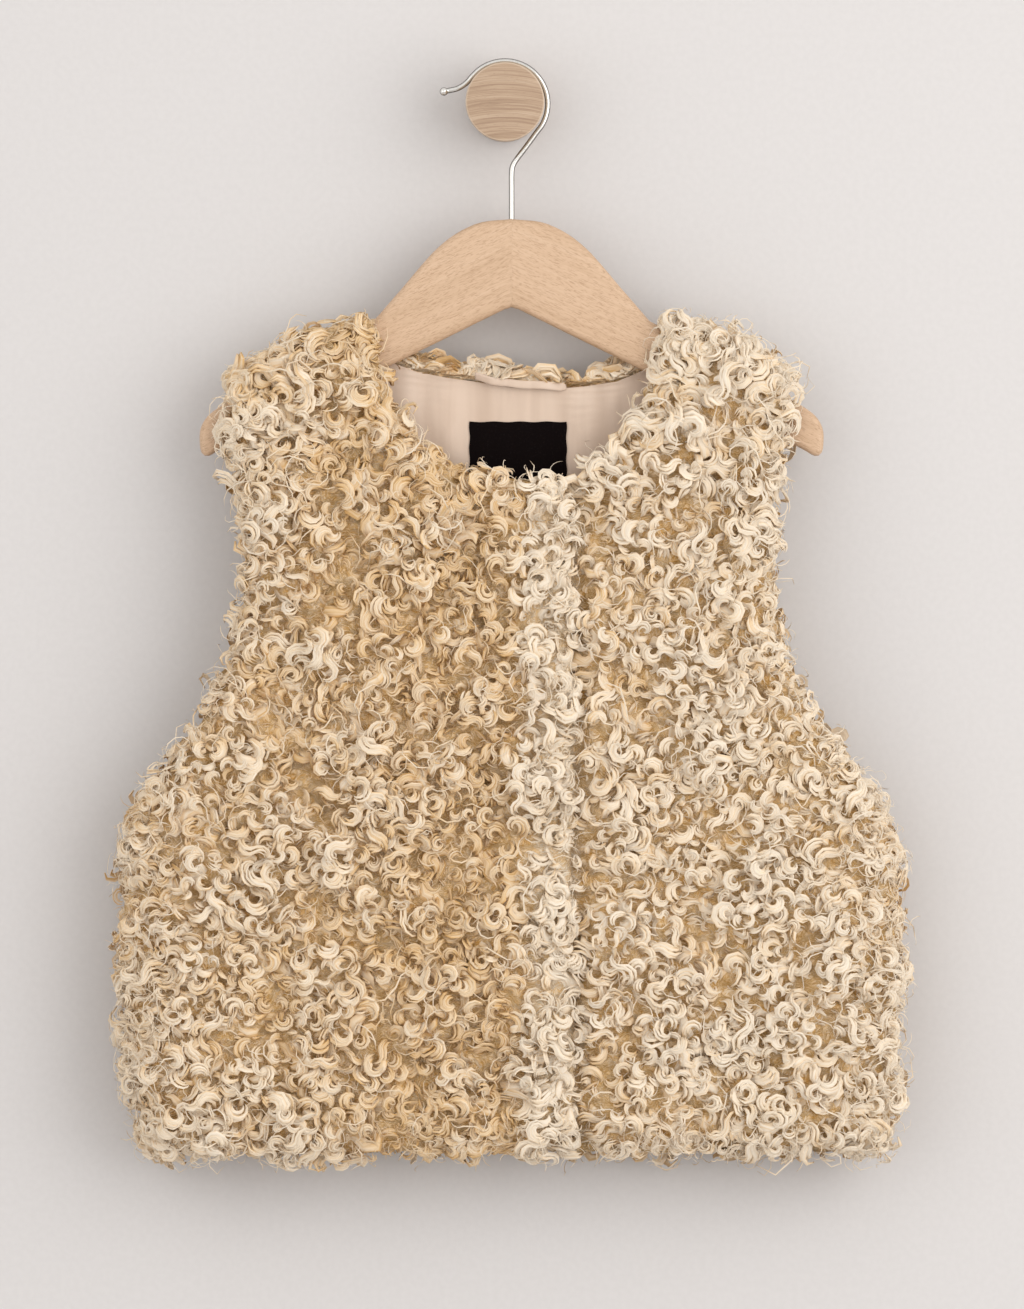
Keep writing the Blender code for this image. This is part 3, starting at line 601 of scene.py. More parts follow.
class HalfPanel:
    """One side of a panel, from its side seam and armhole to the centre line and neck.

    side is -1 at the wearer's right and +1 at the left; face is -1 in front and +1 behind.
    """

    def __init__(self, side, face, centre_x, neck, neck_share, centre_roll, lap, clumps):
        self.side, self.face, self.lap, self.clumps = side, face, lap, clumps
        self.outer = Edge(SIDE_SEAM[side], on_hanger(ARMHOLE[side]), UNDERARM_SHARE)
        hem_centre = Point(centre_x, HEM_Z + (UNDERLAP_HEM_RISE if lap == "under" else 0.0))
        self.inner = Edge((hem_centre, neck[0]), on_hanger(neck), neck_share)
        self.neck_share, self.centre_roll = neck_share, centre_roll
        self.edge_room = FRONT_EDGE_ROOM_SHARE if face < 0 else BACK_EDGE_ROOM_SHARE
        self.heights = self.row_heights()
        tip, neck_point = self.outer.at(1.0), self.inner.at(1.0)
        along = (neck_point - tip).normalized()
        self.up = Vector((-along.y, along.x)) * (1 if along.x > 0 else -1)
        self.weave()

    def row_heights(self):
        """(share of height, roll, is at the hem) for each row, hem first."""
        hem_end = FREE_ROLL_WIDTH / PANEL_HEIGHT
        rows = [(roll.inward * hem_end, roll, True) for roll in FREE_ROLL]
        top = 1 - SHOULDER_ROLL_WIDTH / PANEL_HEIGHT
        plain = Roll(1.0, 1.0, 0)
        for k in range(1, ROWS_BELOW_UNDERARM + 1):
            rows.append((mix(hem_end, UNDERARM_SHARE, k / ROWS_BELOW_UNDERARM), plain, False))
        steps = range(1, ROWS_ABOVE_UNDERARM)
        between = [mix(UNDERARM_SHARE, top, k / ROWS_ABOVE_UNDERARM) for k in steps]
        nearest = min(between, key=lambda share: abs(share - self.neck_share))
        between[between.index(nearest)] = self.neck_share
        rows += [(share, plain, False) for share in between]
        rows += [(1 - roll.inward * (1 - top), roll, False) for roll in reversed(SHOULDER_ROLL)]
        return rows

    def outer_roll(self, share, k):
        """The roll at the side seam, which opens into the armhole's above the underarm."""
        open_share = smooth_step((share - UNDERARM_SHARE) / UNDERARM_BLEND)
        seam, free = SEAM_ROLL[k], FREE_ROLL[k]
        room = mix(self.edge_room, 1.0, free.room)
        width = mix(SEAM_ROLL_WIDTH, FREE_ROLL_WIDTH, open_share)
        return (
            mix(seam.inward, free.inward, open_share) * width,
            mix(seam.room, room, open_share),
            mix(seam.lean, free.lean, open_share),
        )

    def inner_roll(self, share, k):
        """The roll at the centre line, which opens into the neck's above its corner."""
        centre, free = self.centre_roll[k], FREE_ROLL[k]
        if self.lap:
            opened = smooth_step((share - self.neck_share) / NECK_BLEND)
        else:
            opened = 1.0 if share >= self.neck_share else 0.0
        return (
            mix(centre.inward, free.inward, opened) * FREE_ROLL_WIDTH,
            mix(centre.room, mix(self.edge_room, 1.0, free.room), opened),
            mix(centre.lean, free.lean, opened),
        )

    def columns(self, share):
        """(share across, room, lean over the outer edge, lean over the inner edge)."""
        width = (self.inner.at(share) - self.outer.at(share)).length
        found = []
        for k in range(len(SEAM_ROLL)):
            inward, room, lean = self.outer_roll(share, k)
            found.append((inward / width, room, lean, 0.0))
        first = found[-1][0]
        rolls = [self.inner_roll(share, k) for k in reversed(range(len(SEAM_ROLL)))]
        last = 1 - rolls[0][0] / width
        for k in range(1, COLUMNS_BETWEEN_ROLLS):
            found.append((mix(first, last, k / COLUMNS_BETWEEN_ROLLS), 1.0, 0.0, 0.0))
        for inward, room, lean in rolls:
            found.append((1 - inward / width, room, 0.0, lean))
        return found

    def room(self, x, z):
        """Half of the space between front and back, measured from the seams' plane."""
        full, narrow = FRONT_ROOM, FRONT_ROOM_AT_HANGER
        if self.face > 0:
            full, narrow = BACK_ROOM, BACK_ROOM_AT_HANGER
        low = smooth_step((ROOM_TOP_Z - z) / (ROOM_TOP_Z - ROOM_FULL_Z))
        wave = HEM_WAVE * low * math.sin(2 * math.pi * (x / HEM_WAVE_LENGTH + 0.15 * self.face))
        return mix(narrow, full, low) + wave

    def lift(self, x):
        """What the lapping front stands off, where it lies on the other one's edge."""
        if self.lap != "over":
            return 0.0
        lifts_from = UNDERLAP_EDGE_X - LAP_LIFTS_BEFORE - LAP_BLEND
        share = smooth_step((x - lifts_from) / LAP_BLEND)
        return (UNDERLAP_THICKNESS + 2 * SEAM_GAP) * share

    def pile(self, x, z, lean):
        """How far the pile stands out, without its clumps."""
        base = PILE_FRONT if self.face < 0 else PILE_BACK
        low = smooth_step((ROOM_TOP_Z - z) / SHOULDER_FADE_Z)
        across = smooth_step((abs(x) - NECK_POINT_X) / (SHOULDER_FULL_X - NECK_POINT_X))
        edge = mix(mix(PILE_NECK_POINT, PILE_SHOULDER, across), PILE_EDGE, low)
        return mix(base, edge, math.sin(math.radians(lean)))

    def weave(self):
        """Fills the grids of the cloth's inside, the pile's direction, its height and its lean."""
        inside, way, height, leans = [], [], [], []
        for share, row_roll, at_hem in self.heights:
            start, end = self.outer.at(share), self.inner.at(share)
            out_side = self.outer.outward(share, self.side)
            out_neck = self.inner.outward(share, -self.side)
            out_row = Vector((0.0, -1.0)) if at_hem else self.up
            row_room = mix(HEM_ROOM_SHARE, 1.0, row_roll.room) if at_hem else row_roll.room
            for grid in (inside, way, height, leans):
                grid.append([])
            for across, room, lean_side, lean_neck in self.columns(share):
                flat = start.lerp(end, across)
                depth = SEAM_GAP / 2 + self.room(flat.x, flat.y) * room * row_room
                depth += self.lift(flat.x)
                angles = [math.radians(lean) for lean in (lean_side, lean_neck, row_roll.lean)]
                spread = (
                    out_side * math.sin(angles[0])
                    + out_neck * math.sin(angles[1])
                    + out_row * math.sin(angles[2])
                )
                if self.lap is None and abs(flat.x) < 1e-6:
                    spread = Vector((0.0, math.copysign(spread.length, spread.y)))
                ahead = math.cos(angles[0]) * math.cos(angles[1]) * math.cos(angles[2])
                lean = max(lean_side, lean_neck, row_roll.lean)
                inside[-1].append(
                    (HANGER_CENTRE_X + flat.x, HANGER_Y + self.face * depth, flat.y)
                )
                way[-1].append((spread.x, self.face * max(ahead, 0.0), spread.y))
                height[-1].append(self.pile(flat.x, flat.y, lean))
                leans[-1].append(lean)
        self.inside, self.way = np.array(inside), unit(np.array(way))
        self.height, self.leans = np.array(height), np.array(leans)

    def read(self, grid, rows, columns):
        """A grid's values between its rows and columns."""
        r = np.clip(rows.astype(int), 0, grid.shape[0] - 2)
        c = np.clip(columns.astype(int), 0, grid.shape[1] - 2)
        down, across = rows - r, columns - c
        if grid.ndim == 3:
            down, across = down[..., None], across[..., None]
        low = grid[r, c] * (1 - across) + grid[r, c + 1] * across
        high = grid[r + 1, c] * (1 - across) + grid[r + 1, c + 1] * across
        return low * (1 - down) + high * down

    def pile_at(self, rows, columns):
        """(inside points, directions, heights with their clumps, crowns' numbers, leans)."""
        inside = self.read(self.inside, rows, columns)
        way = unit(self.read(self.way, rows, columns))
        lean = self.read(self.leans, rows, columns)
        x, z = inside[..., 0] - HANGER_CENTRE_X, inside[..., 2]
        rise, crown = self.clumps.nearest(x.ravel(), z.ravel())
        rise, crown = rise.reshape(x.shape), crown.reshape(x.shape)
        height = self.read(self.height, rows, columns)
        height = height + CLUMP_RISE * (rise - 0.5) * (1 - CLUMP_LOST_AT_EDGE * lean / 90)
        if self.lap == "under":
            bare = np.clip((x - UNDERLAP_BARE_TO_X) / LAP_BLEND, 0, 1)
            bare = bare * bare * (3 - 2 * bare)
            height = UNDERLAP_THICKNESS + (height - UNDERLAP_THICKNESS) * bare
        return inside, way, height, crown, lean


FRONT_CLUMPS = Clumps(CLUMP_SEED)
BACK_CLUMPS = Clumps(CLUMP_SEED + 1)
RIGHT_FRONT = HalfPanel(
    -1, -1, LAP_EDGE_X, FRONT_NECK[-1], FRONT_NECK_SHARE, LAP_ROLL, "over", FRONT_CLUMPS
)
LEFT_FRONT = HalfPanel(
    +1, -1, UNDERLAP_EDGE_X, FRONT_NECK[+1], FRONT_NECK_SHARE, UNDERLAP_ROLL, "under", FRONT_CLUMPS
)
BACK_HALVES = [
    HalfPanel(side, +1, 0.0, BACK_NECK[side], BACK_NECK_SHARE, FLAT_ROLL, None, BACK_CLUMPS)
    for side in (-1, +1)
]

# ---- Cloth shells ------------------------------------------------------------------------------

SHELL_ROWS_PER_ROW = 2
SHELL_COLUMNS_PER_COLUMN = 2
BASE_SHARE = 0.56  # of the pile's height that its dense base fills
BASE_LUMP = 0.0022


def fine_steps(count, per):
    return np.arange((count - 1) * per + 1) / per


def base_lumps(points):
    """Small rounded lumps over the base of the pile."""
    x, z = points[..., 0], points[..., 2]
    first = np.sin(x * 610 + 1.7 * np.sin(z * 330)) * np.sin(z * 560 + 1.9 * np.sin(x * 290))
    second = np.sin(x * 1130 + 2.0 * np.sin(z * 700)) * np.sin(z * 1010 + 2.1 * np.sin(x * 640))
    return BASE_LUMP * (0.65 * first + 0.35 * second)


def shell_grids(half):
    """The fine grids of the cloth's inside and of the outside of the pile's dense base."""
    rows, columns = np.meshgrid(
        fine_steps(half.inside.shape[0], SHELL_ROWS_PER_ROW),
        fine_steps(half.inside.shape[1], SHELL_COLUMNS_PER_COLUMN),
        indexing="ij",
    )
    inside, way, height, _, _ = half.pile_at(rows, columns)
    thick = np.maximum(0.0026, height * BASE_SHARE + base_lumps(inside) * (height > 0.006))
    return inside, inside + way * thick[..., None]


def closed_wall(bm, inside, outside, joined_rows=0):
    """A closed wall between two grids; returns its inner faces. Along the last column the first
    joined_rows rows stay open, where the other half of the panel carries on."""
    sides = [
        [[bm.verts.new(point) for point in row] for row in grid] for grid in (inside, outside)
    ]
    lining = []
    for side, grid in enumerate(sides):
        for low, high in zip(grid, grid[1:]):
            for k in range(len(low) - 1):
                face = bm.faces.new((low[k], low[k + 1], high[k + 1], high[k]))
                if side == 0:
                    lining.append(face)

    def rim(pairs):
        for (a, b), (c, d) in zip(pairs, pairs[1:]):
            bm.faces.new((a, b, d, c))

    near, far = sides
    rim(list(zip(near[0], far[0])))
    rim(list(zip(near[-1], far[-1])))
    rim([(row[0], out[0]) for row, out in zip(near, far)])
    open_from = max(0, joined_rows - 1)
    rim([(row[-1], out[-1]) for row, out in zip(near[open_from:], far[open_from:])])
    return lining


def cloth_shell(name, node, halves, joined_rows, finishes, slot):
    """A panel's cloth: satin inside, and the dense base of its pile outside."""
    bm = bmesh.new()
    for half in halves:
        inside, outside = shell_grids(half)
        for face in closed_wall(bm, inside.tolist(), outside.tolist(), joined_rows):
            face.material_index = 1
    mesh = finished_mesh(name, bm, 0.00002)
    obj = add_piece(name, mesh, finishes[0], slot)
    mesh.materials.append(finishes[1])
    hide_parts(node)
    return obj


# ---- Curls -------------------------------------------------------------------------------------

Locks = namedtuple("Locks", "foot centre out face start radius turn drawn hand sway dip width tone")
Strand = namedtuple("Strand", "steps width flatness spread loosen first last")

CURL = Strand(steps=7, width=0.37, flatness=0.8, spread=0.74, loosen=0.05, first=0.16, last=0.94)
BACK_CURL = CURL._replace(width=0.50)
UNDER = Strand(steps=5, width=0.9, flatness=0.75, spread=0.0, loosen=0.0, first=0.0, last=1.0)
STRAY = Strand(steps=5, width=0.085, flatness=0.9, spread=1.25, loosen=0.20, first=0.3, last=1.0)
FRIZZ = Strand(steps=6, width=0.080, flatness=0.9, spread=1.25, loosen=0.20, first=0.3, last=1.0)
# Partly the fur's own tone and partly painted light and shade: paler on the raised lap edge and
# towards the lit side, darker beside the lap edge.
TONE_AND_PAINTED_LIGHT_ACROSS = (  # how much lighter the front's curls are than their mean, at each x
    (-0.19, -0.13, -0.03, 0.004, 0.014, 0.034, 0.044, 0.070, 0.17),
    (0.1, -0.9, -3.0, -2.0, 4.2, 4.6, -0.2, 1.5, 2.4),
)
NECK_CURLS_ABOVE_Z = -0.175
NECK_CURLS_TO_X = NECK_POINT_X - 0.016
UNDER_SHARE = 0.60  # of the curls' number, that lie below them
LEAST_HEIGHT = 0.0008  # of a curl above its cloth
LEAST_PILE = 0.006  # where curls grow
CURL_CLUMP_RISE = 0.0080  # what the curls add to the clumps of the pile
CURL_TOP_RANGE = (0.35, 1.35)  # of the pile's height
FACING_SHARE = 0.68  # of the curls that face outwards, with this tilt in radians
FACING_TILT = 0.36
SIDE_TILTS = (0.7, 1.4)  # of the others
SWIRL_SPREAD = 1.0  # how far a curl may turn from its clump's swirl, in radians
WAVES_FROM, HOOKS_FROM = 0.80, 0.50  # of all curls; the first half are spirals
WAVE_TURNS, HOOK_TURNS, SPIRAL_TURNS = (4.2, 6.2), (3.2, 4.8), (4.9, 7.0)
RADII = (0.68, 1.38)  # of the mean radius
SHOULDER_RADIUS_MORE = 0.2
LOCK_WIDTHS = (0.38, 0.54)  # of its radius
MEAN_TONE = 3.4
# Painted light and shade: curls on a clump's crown and high in the pile are lighter, those in its
# valleys and deep down darker.
PAINTED_LIGHT_UP_A_CLUMP = 7.2
PAINTED_LIGHT_UP_THE_PILE = 2.0
LOCK_TONE_SPREAD, STRAND_TONE_SPREAD = 0.6, 0.7
WALL_GAP = 0.0005
STRAND_SECTION = ((0.0, 0.9), (-1.0, -0.35), (1.0, -0.35))  # its crown, and its two rims
LOCK_FLATNESS = 0.62
NEIGHBOURS = [np.array(shift) for shift in product((-1, 0, 1), repeat=3)]
ROOT_SPACING = 0.72  # of the mean distance between roots
ROUTE_STEPS = 30
ROOT_SHARE = 0.26  # of a route, that comes up out of the pile
CREST = 0.16  # how far a curl's middle stands out, of its radius
PIECE_TRIANGLES = 199000  # the most in one piece


def spread_roots(half, count, seed, within=None):
    """Even, random places on a half panel: fractional rows and columns.

    within(points, leans) says where, and without it they cover the whole panel."""
    chance = np.random.default_rng(seed)
    tips = half.inside + half.way * half.height[..., None]
    first = tips[1:, 1:] - tips[:-1, :-1]
    second = tips[:-1, 1:] - tips[1:, :-1]
    area = 0.5 * np.linalg.norm(np.cross(first, second), axis=-1)
    if within:
        area = area * within(half.inside[:-1, :-1], half.leans[:-1, :-1])
    spacing = ROOT_SPACING * math.sqrt(area.sum() / count)
    share = (area / area.sum()).ravel()
    picked = chance.choice(share.size, size=count * 6, p=share)
    rows = picked // area.shape[1] + chance.random(picked.size)
    columns = picked % area.shape[1] + chance.random(picked.size)
    places = half.read(tips, rows, columns)
    cells, kept = {}, []
    for k, (place, cell) in enumerate(zip(places, np.floor(places / spacing).astype(int))):
        around = [cells.get(tuple(cell + shift)) for shift in NEIGHBOURS]
        close = any(
            other is not None and np.sum((places[other] - place) ** 2) < spacing * spacing
            for other in around
        )
        if not close:
            cells[tuple(cell)] = k
            kept.append(k)
            if len(kept) == count:
                break
    return rows[kept], columns[kept]


def turned(vectors, axis, angle):
    """The vectors, turned about each one's axis."""
    cosine, sine = np.cos(angle)[:, None], np.sin(angle)[:, None]
    along = np.sum(axis * vectors, axis=1, keepdims=True)
    return vectors * cosine + np.cross(axis, vectors) * sine + axis * along * (1 - cosine)


def level(vectors, out):
    """The vectors, laid square to out."""
    return unit(vectors - out * np.sum(vectors * out, axis=-1, keepdims=True))


def sample_locks(half, count, seed, radius, top_range, within=None):
    """Even curls over a half panel: most face outwards, and the rest are seen from the side."""
    chance = np.random.default_rng(seed)
    rows, columns = spread_roots(half, count, seed + 1, within)
    inside, out, height, crown, lean = half.pile_at(rows, columns)
    keep = height > LEAST_PILE
    inside, out, height, crown, lean = (a[keep] for a in (inside, out, height, crown, lean))
    count = len(inside)
    x, z = inside[:, 0] - HANGER_CENTRE_X, inside[:, 2]
    crowns = half.clumps.crowns[crown]
    rise, _ = half.clumps.nearest(x, z)
    angle = np.arctan2(z - crowns[:, 1], x - crowns[:, 0]) + half.clumps.swirls[crown]
    angle = angle + chance.normal(0, SWIRL_SPREAD, count)
    side_way = unit(np.cross(out, np.array([[0.0, 0.02, 1.0]])))
    up_way = np.cross(side_way, out)
    hinge = side_way * np.cos(angle)[:, None] + up_way * np.sin(angle)[:, None]
    facing = chance.random(count) < FACING_SHARE
    tilt = np.where(facing, np.abs(chance.normal(0, FACING_TILT, count)),
                    chance.uniform(*SIDE_TILTS, count))
    seen_from = np.zeros((count, 3))
    at_neck = (half.face > 0) & (inside[:, 2] > NECK_CURLS_ABOVE_Z) & (chance.random(count) < 0.75)
    seen_from[:, 1] = np.where(at_neck, -1.0, half.face) * 1.3 * np.sin(np.radians(lean))
    face = unit(turned(unit(out + seen_from), hinge, tilt))
    shoulder = np.clip((z + 0.235) / 0.06, 0, 1)
    radius = radius * chance.uniform(*RADII, count) * (1 + SHOULDER_RADIUS_MORE * shoulder)
    top = height * chance.uniform(*top_range, count) + CURL_CLUMP_RISE * (rise - 0.45)
    top = np.clip(top, *(share * height for share in CURL_TOP_RANGE))
    kind = chance.random(count)
    wave = kind > WAVES_FROM
    hook = (kind > HOOKS_FROM) & ~wave
    turn = np.where(wave, chance.uniform(*WAVE_TURNS, count), np.where(
        hook, chance.uniform(*HOOK_TURNS, count), chance.uniform(*SPIRAL_TURNS, count)))
    begin = chance.uniform(-math.pi, math.pi, count)
    width = radius * chance.uniform(*LOCK_WIDTHS, count)
    return Locks(
        foot=inside,
        centre=inside + out * (
            top - radius * 0.9 * np.linalg.norm(np.cross(face, out), axis=1) - 0.6 * width
        )[:, None],
        out=out,
        face=face,
        start=turned(level(hinge, face), face, begin),
        radius=radius,
        turn=turn,
        drawn=np.where(wave, 0.25, np.where(hook, 0.35, chance.uniform(0.6, 0.78, count))),
        hand=np.where(chance.random(count) < 0.5, -1.0, 1.0),
        sway=np.where(wave, chance.uniform(0.40, 0.6, count), 1.1),
        dip=top * chance.uniform(0.35, 0.6, count),
        width=width,
        # The tone is partly the fur's own, and partly painted light and shade across the front,
        # over the clumps and up the pile.
        tone=(MEAN_TONE + np.interp(inside[:, 0], *TONE_AND_PAINTED_LIGHT_ACROSS) * (half.face < 0)
              + PAINTED_LIGHT_UP_A_CLUMP * (rise - 0.50)
              + PAINTED_LIGHT_UP_THE_PILE * (top / height - np.mean(top_range))
              + chance.normal(0, LOCK_TONE_SPREAD, count)),
    )


def strands_of(locks, strand, each, seed):
    """Copies of each lock, loosened as its outer hairs are, and their angles round its crown."""
    chance = np.random.default_rng(seed)
    lock = np.repeat(np.arange(len(locks.out)), each)
    count = len(lock)
    copied = Locks(*(field[lock] for field in locks))
    face = unit(copied.face + chance.normal(0, 1.6 * strand.loosen, (count, 3)))

    def loosened(values):
        return values * (1 + strand.loosen * chance.uniform(-1, 1.6, count))

    stray = chance.normal(0, 0.006 * strand.loosen, (count, 3))
    return copied._replace(
        centre=copied.centre + stray,
        face=face,
        start=turned(level(copied.start, face), face, chance.normal(0, 2 * strand.loosen, count)),
        radius=loosened(copied.radius),
        turn=loosened(copied.turn),
        tone=copied.tone + chance.normal(0, STRAND_TONE_SPREAD, count) * (each > 1),
    ), math.pi * (np.tile(np.arange(each), count // each) + chance.uniform(0.2, 0.8, count)) / each


def curl_routes(locks):
    """The points of each lock's route: up out of the pile, then round in its plane into a curl."""
    share = (np.arange(ROUTE_STEPS) + 0.5) / ROUTE_STEPS
    radius = locks.radius[:, None] * (1 - locks.drawn[:, None] * share)
    angle = locks.turn[:, None] / ROUTE_STEPS * np.where(share > locks.sway[:, None], -1.0, 1.0)
    heading = np.cumsum(angle, axis=1) - 0.5 * angle
    length = radius * np.abs(angle)
    start, side = locks.start, np.cross(locks.face, locks.start) * locks.hand[:, None]
    steps_taken = (
        (length * np.cos(heading))[..., None] * start[:, None]
        + (length * np.sin(heading))[..., None] * side[:, None]
    )
    route = np.concatenate([np.zeros_like(start)[:, None], np.cumsum(steps_taken, axis=1)], axis=1)
    route = route - route[:, ROUTE_STEPS // 4:].mean(1, keepdims=True)
    share = np.linspace(0, 1, ROUTE_STEPS + 1)
    rooted = np.clip(1 - share / ROOT_SHARE, 0, 1) ** 1.5
    route = route - locks.out[:, None] * (locks.dip[:, None] * rooted)[..., None]
    crest = np.sin(math.pi * np.minimum(1, share * 1.1)) * CREST
    route = route + locks.face[:, None] * (locks.radius[:, None] * crest)[..., None]
    return locks.centre[:, None] + route


def cut_lengths(routes, share):
    """Each route's points at these shares of its length."""
    place = np.clip(share * ROUTE_STEPS, 0, ROUTE_STEPS - 1e-6)
    low = place.astype(int)
    part = (place - low)[..., None]
    lock = np.arange(len(routes))[:, None]
    return routes[lock, low] * (1 - part) + routes[lock, low + 1] * part


def lock_tubes(routes, faces, width, places, strand, seed):
    """Vertices of closed, flattened tubes: a ring at each point of a route, and one at its tip.

    places are the angles at which the strands lie round the crown of their lock.
    """
    chance = np.random.default_rng(seed)
    first = strand.first * chance.uniform(0.3, 1.4, len(routes))[:, None]
    last = 1 - (1 - strand.last) * chance.uniform(0.0, 2.0, len(routes))[:, None]
    steps = np.linspace(0, 1, strand.steps + 1)
    share = first + (last - first) * steps
    routes = cut_lengths(routes, share)
    ahead = unit(np.gradient(routes, axis=1))
    across = unit(np.cross(np.broadcast_to(faces[:, None], ahead.shape), ahead))
    up = np.cross(ahead, across)
    lock_wide = (width[:, None] * np.minimum(0.5 + 1.8 * share, 1.0) * (1 - 0.75 * share ** 2.4))
    angle = places[:, None, None]
    routes = routes + strand.spread * lock_wide[..., None] * (
        np.cos(angle) * across + LOCK_FLATNESS * np.sin(angle) * up
    )
    own = np.minimum(1.0, 0.35 + 3.0 * steps) * (1 - 0.85 * steps ** 3)
    wide = (width[:, None] * chance.uniform(0.8, 1.25, len(routes))[:, None] * own)[..., None]
    wide = wide * strand.width
    rings = [
        routes + across * (wide * x) + up * (wide * strand.flatness * z) for x, z in STRAND_SECTION
    ]
    body = np.stack(rings, 2)[:, :-1].reshape(len(routes), -1, 3)
    return np.concatenate([body, routes[:, -1:]], 1)


def strand_faces(rings):
    """The corners, sizes and map places of one closed strand's faces."""
    sides = len(STRAND_SECTION)
    corners, sizes, maps = [], [], []
    for ring in range(rings - 1):
        for side in range(sides):
            low, next_low = ring * sides + side, ring * sides + (side + 1) % sides
            corners += [low, next_low, next_low + sides, low + sides]
            sizes.append(4)
            a, b = ring / rings, (ring + 1) / rings
            v, w = side / sides, (side + 1) / sides
            maps += [(a, v), (a, w), (b, w), (b, v)]
    for side in range(sides):
        low = (rings - 1) * sides
        corners += [low + side, low + (side + 1) % sides, rings * sides]
        sizes.append(3)
        v, w = side / sides, (side + 1) / sides
        maps += [((rings - 1) / rings, v), ((rings - 1) / rings, w), (1.0, (v + w) / 2)]
    corners += list(range(sides))[::-1]
    sizes.append(sides)
    maps += [(0.0, 0.0)] * sides
    return np.array(corners), np.array(sizes), np.array(maps)


def fur_mesh(name, tubes, tiles):
    """One mesh of many strands of three sides, each with its tile of the shared map."""
    count, verts_each, _ = tubes.shape
    corners, sizes, maps = strand_faces((verts_each - 1) // len(STRAND_SECTION))
    inset = (0.03 + 0.94 * maps) / TILES
    all_corners = (np.arange(count)[:, None] * verts_each + corners[None]).ravel()
    all_sizes = np.tile(sizes, count)
    starts = np.concatenate([[0], np.cumsum(all_sizes)[:-1]])
    mesh = bpy.data.meshes.new(name)
    mesh.vertices.add(count * verts_each)
    mesh.vertices.foreach_set("co", tubes.astype(np.float32).ravel())
    mesh.loops.add(len(all_corners))
    mesh.loops.foreach_set("vertex_index", all_corners.astype(np.int32))
    mesh.polygons.add(len(all_sizes))
    mesh.polygons.foreach_set("loop_start", starts.astype(np.int32))
    layer = mesh.uv_layers.new(name="OFBake")
    places = inset[None] + tiles[:, None, :] / TILES
    layer.data.foreach_set("uv", places.astype(np.float32).ravel())
    mesh.update(calc_edges=True)
    mesh.validate()
    mesh.shade_smooth()
    mesh.set_sharp_from_angle(angle=math.radians(100))
    return mesh


def grow(locks, strand, each, seed):
    """The tubes of these locks' strands, and their tiles."""
    chance = np.random.default_rng(seed)
    strands, places = strands_of(locks, strand, each, seed + 1)
    routes = curl_routes(strands)
    tubes = lock_tubes(routes, strands.face, strands.width, places, strand, seed + 2)
    out = strands.out[:, None]
    heights = np.sum((tubes - strands.foot[:, None]) * out, axis=-1, keepdims=True)
    tubes = tubes + out * np.maximum(0.0, LEAST_HEIGHT - heights)
    tubes[..., 1] -= np.maximum(0.0, tubes[..., 1].max(1, keepdims=True) + WALL_GAP)
    tone = np.clip(np.round(strands.tone), 0, TILES - 1)
    return tubes, np.stack([chance.integers(0, TILES, len(tone)), tone], 1)


# ---- The pieces --------------------------------------------------------------------------------

fur = fur_lock_finish()
base = fur_base_finish()
satin = satin_finish()

right_shell = cloth_shell("right_front_cloth", "front_right", [RIGHT_FRONT], 0, (base, satin),
                          "fur_front_right")
left_shell = cloth_shell("left_front_cloth", "front_left", [LEFT_FRONT], 0, (base, satin),
                         "fur_front_left")
joined = sum(share <= BACK_NECK_SHARE + 1e-9 for share, _, _ in BACK_HALVES[0].heights) - 1
back_shell = cloth_shell("back_cloth", "back", BACK_HALVES, joined * SHELL_ROWS_PER_ROW + 1,
                         (base, satin), "fur_back")

PIECES = defaultdict(list)  # of fur, for each half panel


def add_fur(coat, kind, count, strand, each):
    """The pieces of one kind of fur on a half panel, split before they grow too heavy."""
    locks = sample_locks(coat.half, count, coat.seed + kind.seed, kind.radius, kind.tops,
                         kind.within)
    locks = locks._replace(turn=locks.turn * kind.turn, tone=locks.tone + kind.lighter)
    tubes, tiles = grow(locks, strand, each, coat.seed + kind.grown_seed)
    batches = 1 + len(tubes) * (6 * strand.steps - 2) // PIECE_TRIANGLES
    for k, batch in enumerate(np.array_split(np.arange(len(tubes)), batches)):
        name = f"{kind.name}_{coat.name}" + (f"_{k + 1}" if batches > 1 else "")
        mesh = fur_mesh(name, tubes[batch], tiles[batch])
        PIECES[coat.name].append(add_piece(name, mesh, fur, coat.slot, smooth=False))


def at_edges(points, leans):
    """Where the frizz grows: on the rolled edges."""
    return leans > 25


def at_back_neck(points, leans):
    """Where the curls stand up behind the neck."""
    return (leans > 20) & (points[..., 2] > NECK_CURLS_ABOVE_Z) & (
        np.abs(points[..., 0] - HANGER_CENTRE_X) < NECK_CURLS_TO_X
    )


Kind = namedtuple("Kind", "name seed grown_seed radius tops turn lighter within")
Coat = namedtuple("Coat", "name half slot seed curls curl each strays frizz neck_curls")

CURLS = Kind("curls", 0, 50, 0.0050, (0.78, 1.05), 1.0, 0.0, None)
# The low locks are darker: painted shade deep in the pile.
LOW_LOCKS = Kind("under", 5, 51, 0.0058, (0.62, 0.82), 0.75, -1.4, None)
STRAYS = Kind("strays", 9, 52, 0.0080, (0.95, 1.12), 0.7, 2.0, None)
EDGE_FRIZZ = Kind("frizz", 17, 54, 0.0062, (0.95, 1.42), 0.55, 2.0, at_edges)
NECK_CURLS = Kind("neck_curls", 13, 53, 0.0056, (0.85, 1.45), 1.0, 0.0, at_back_neck)

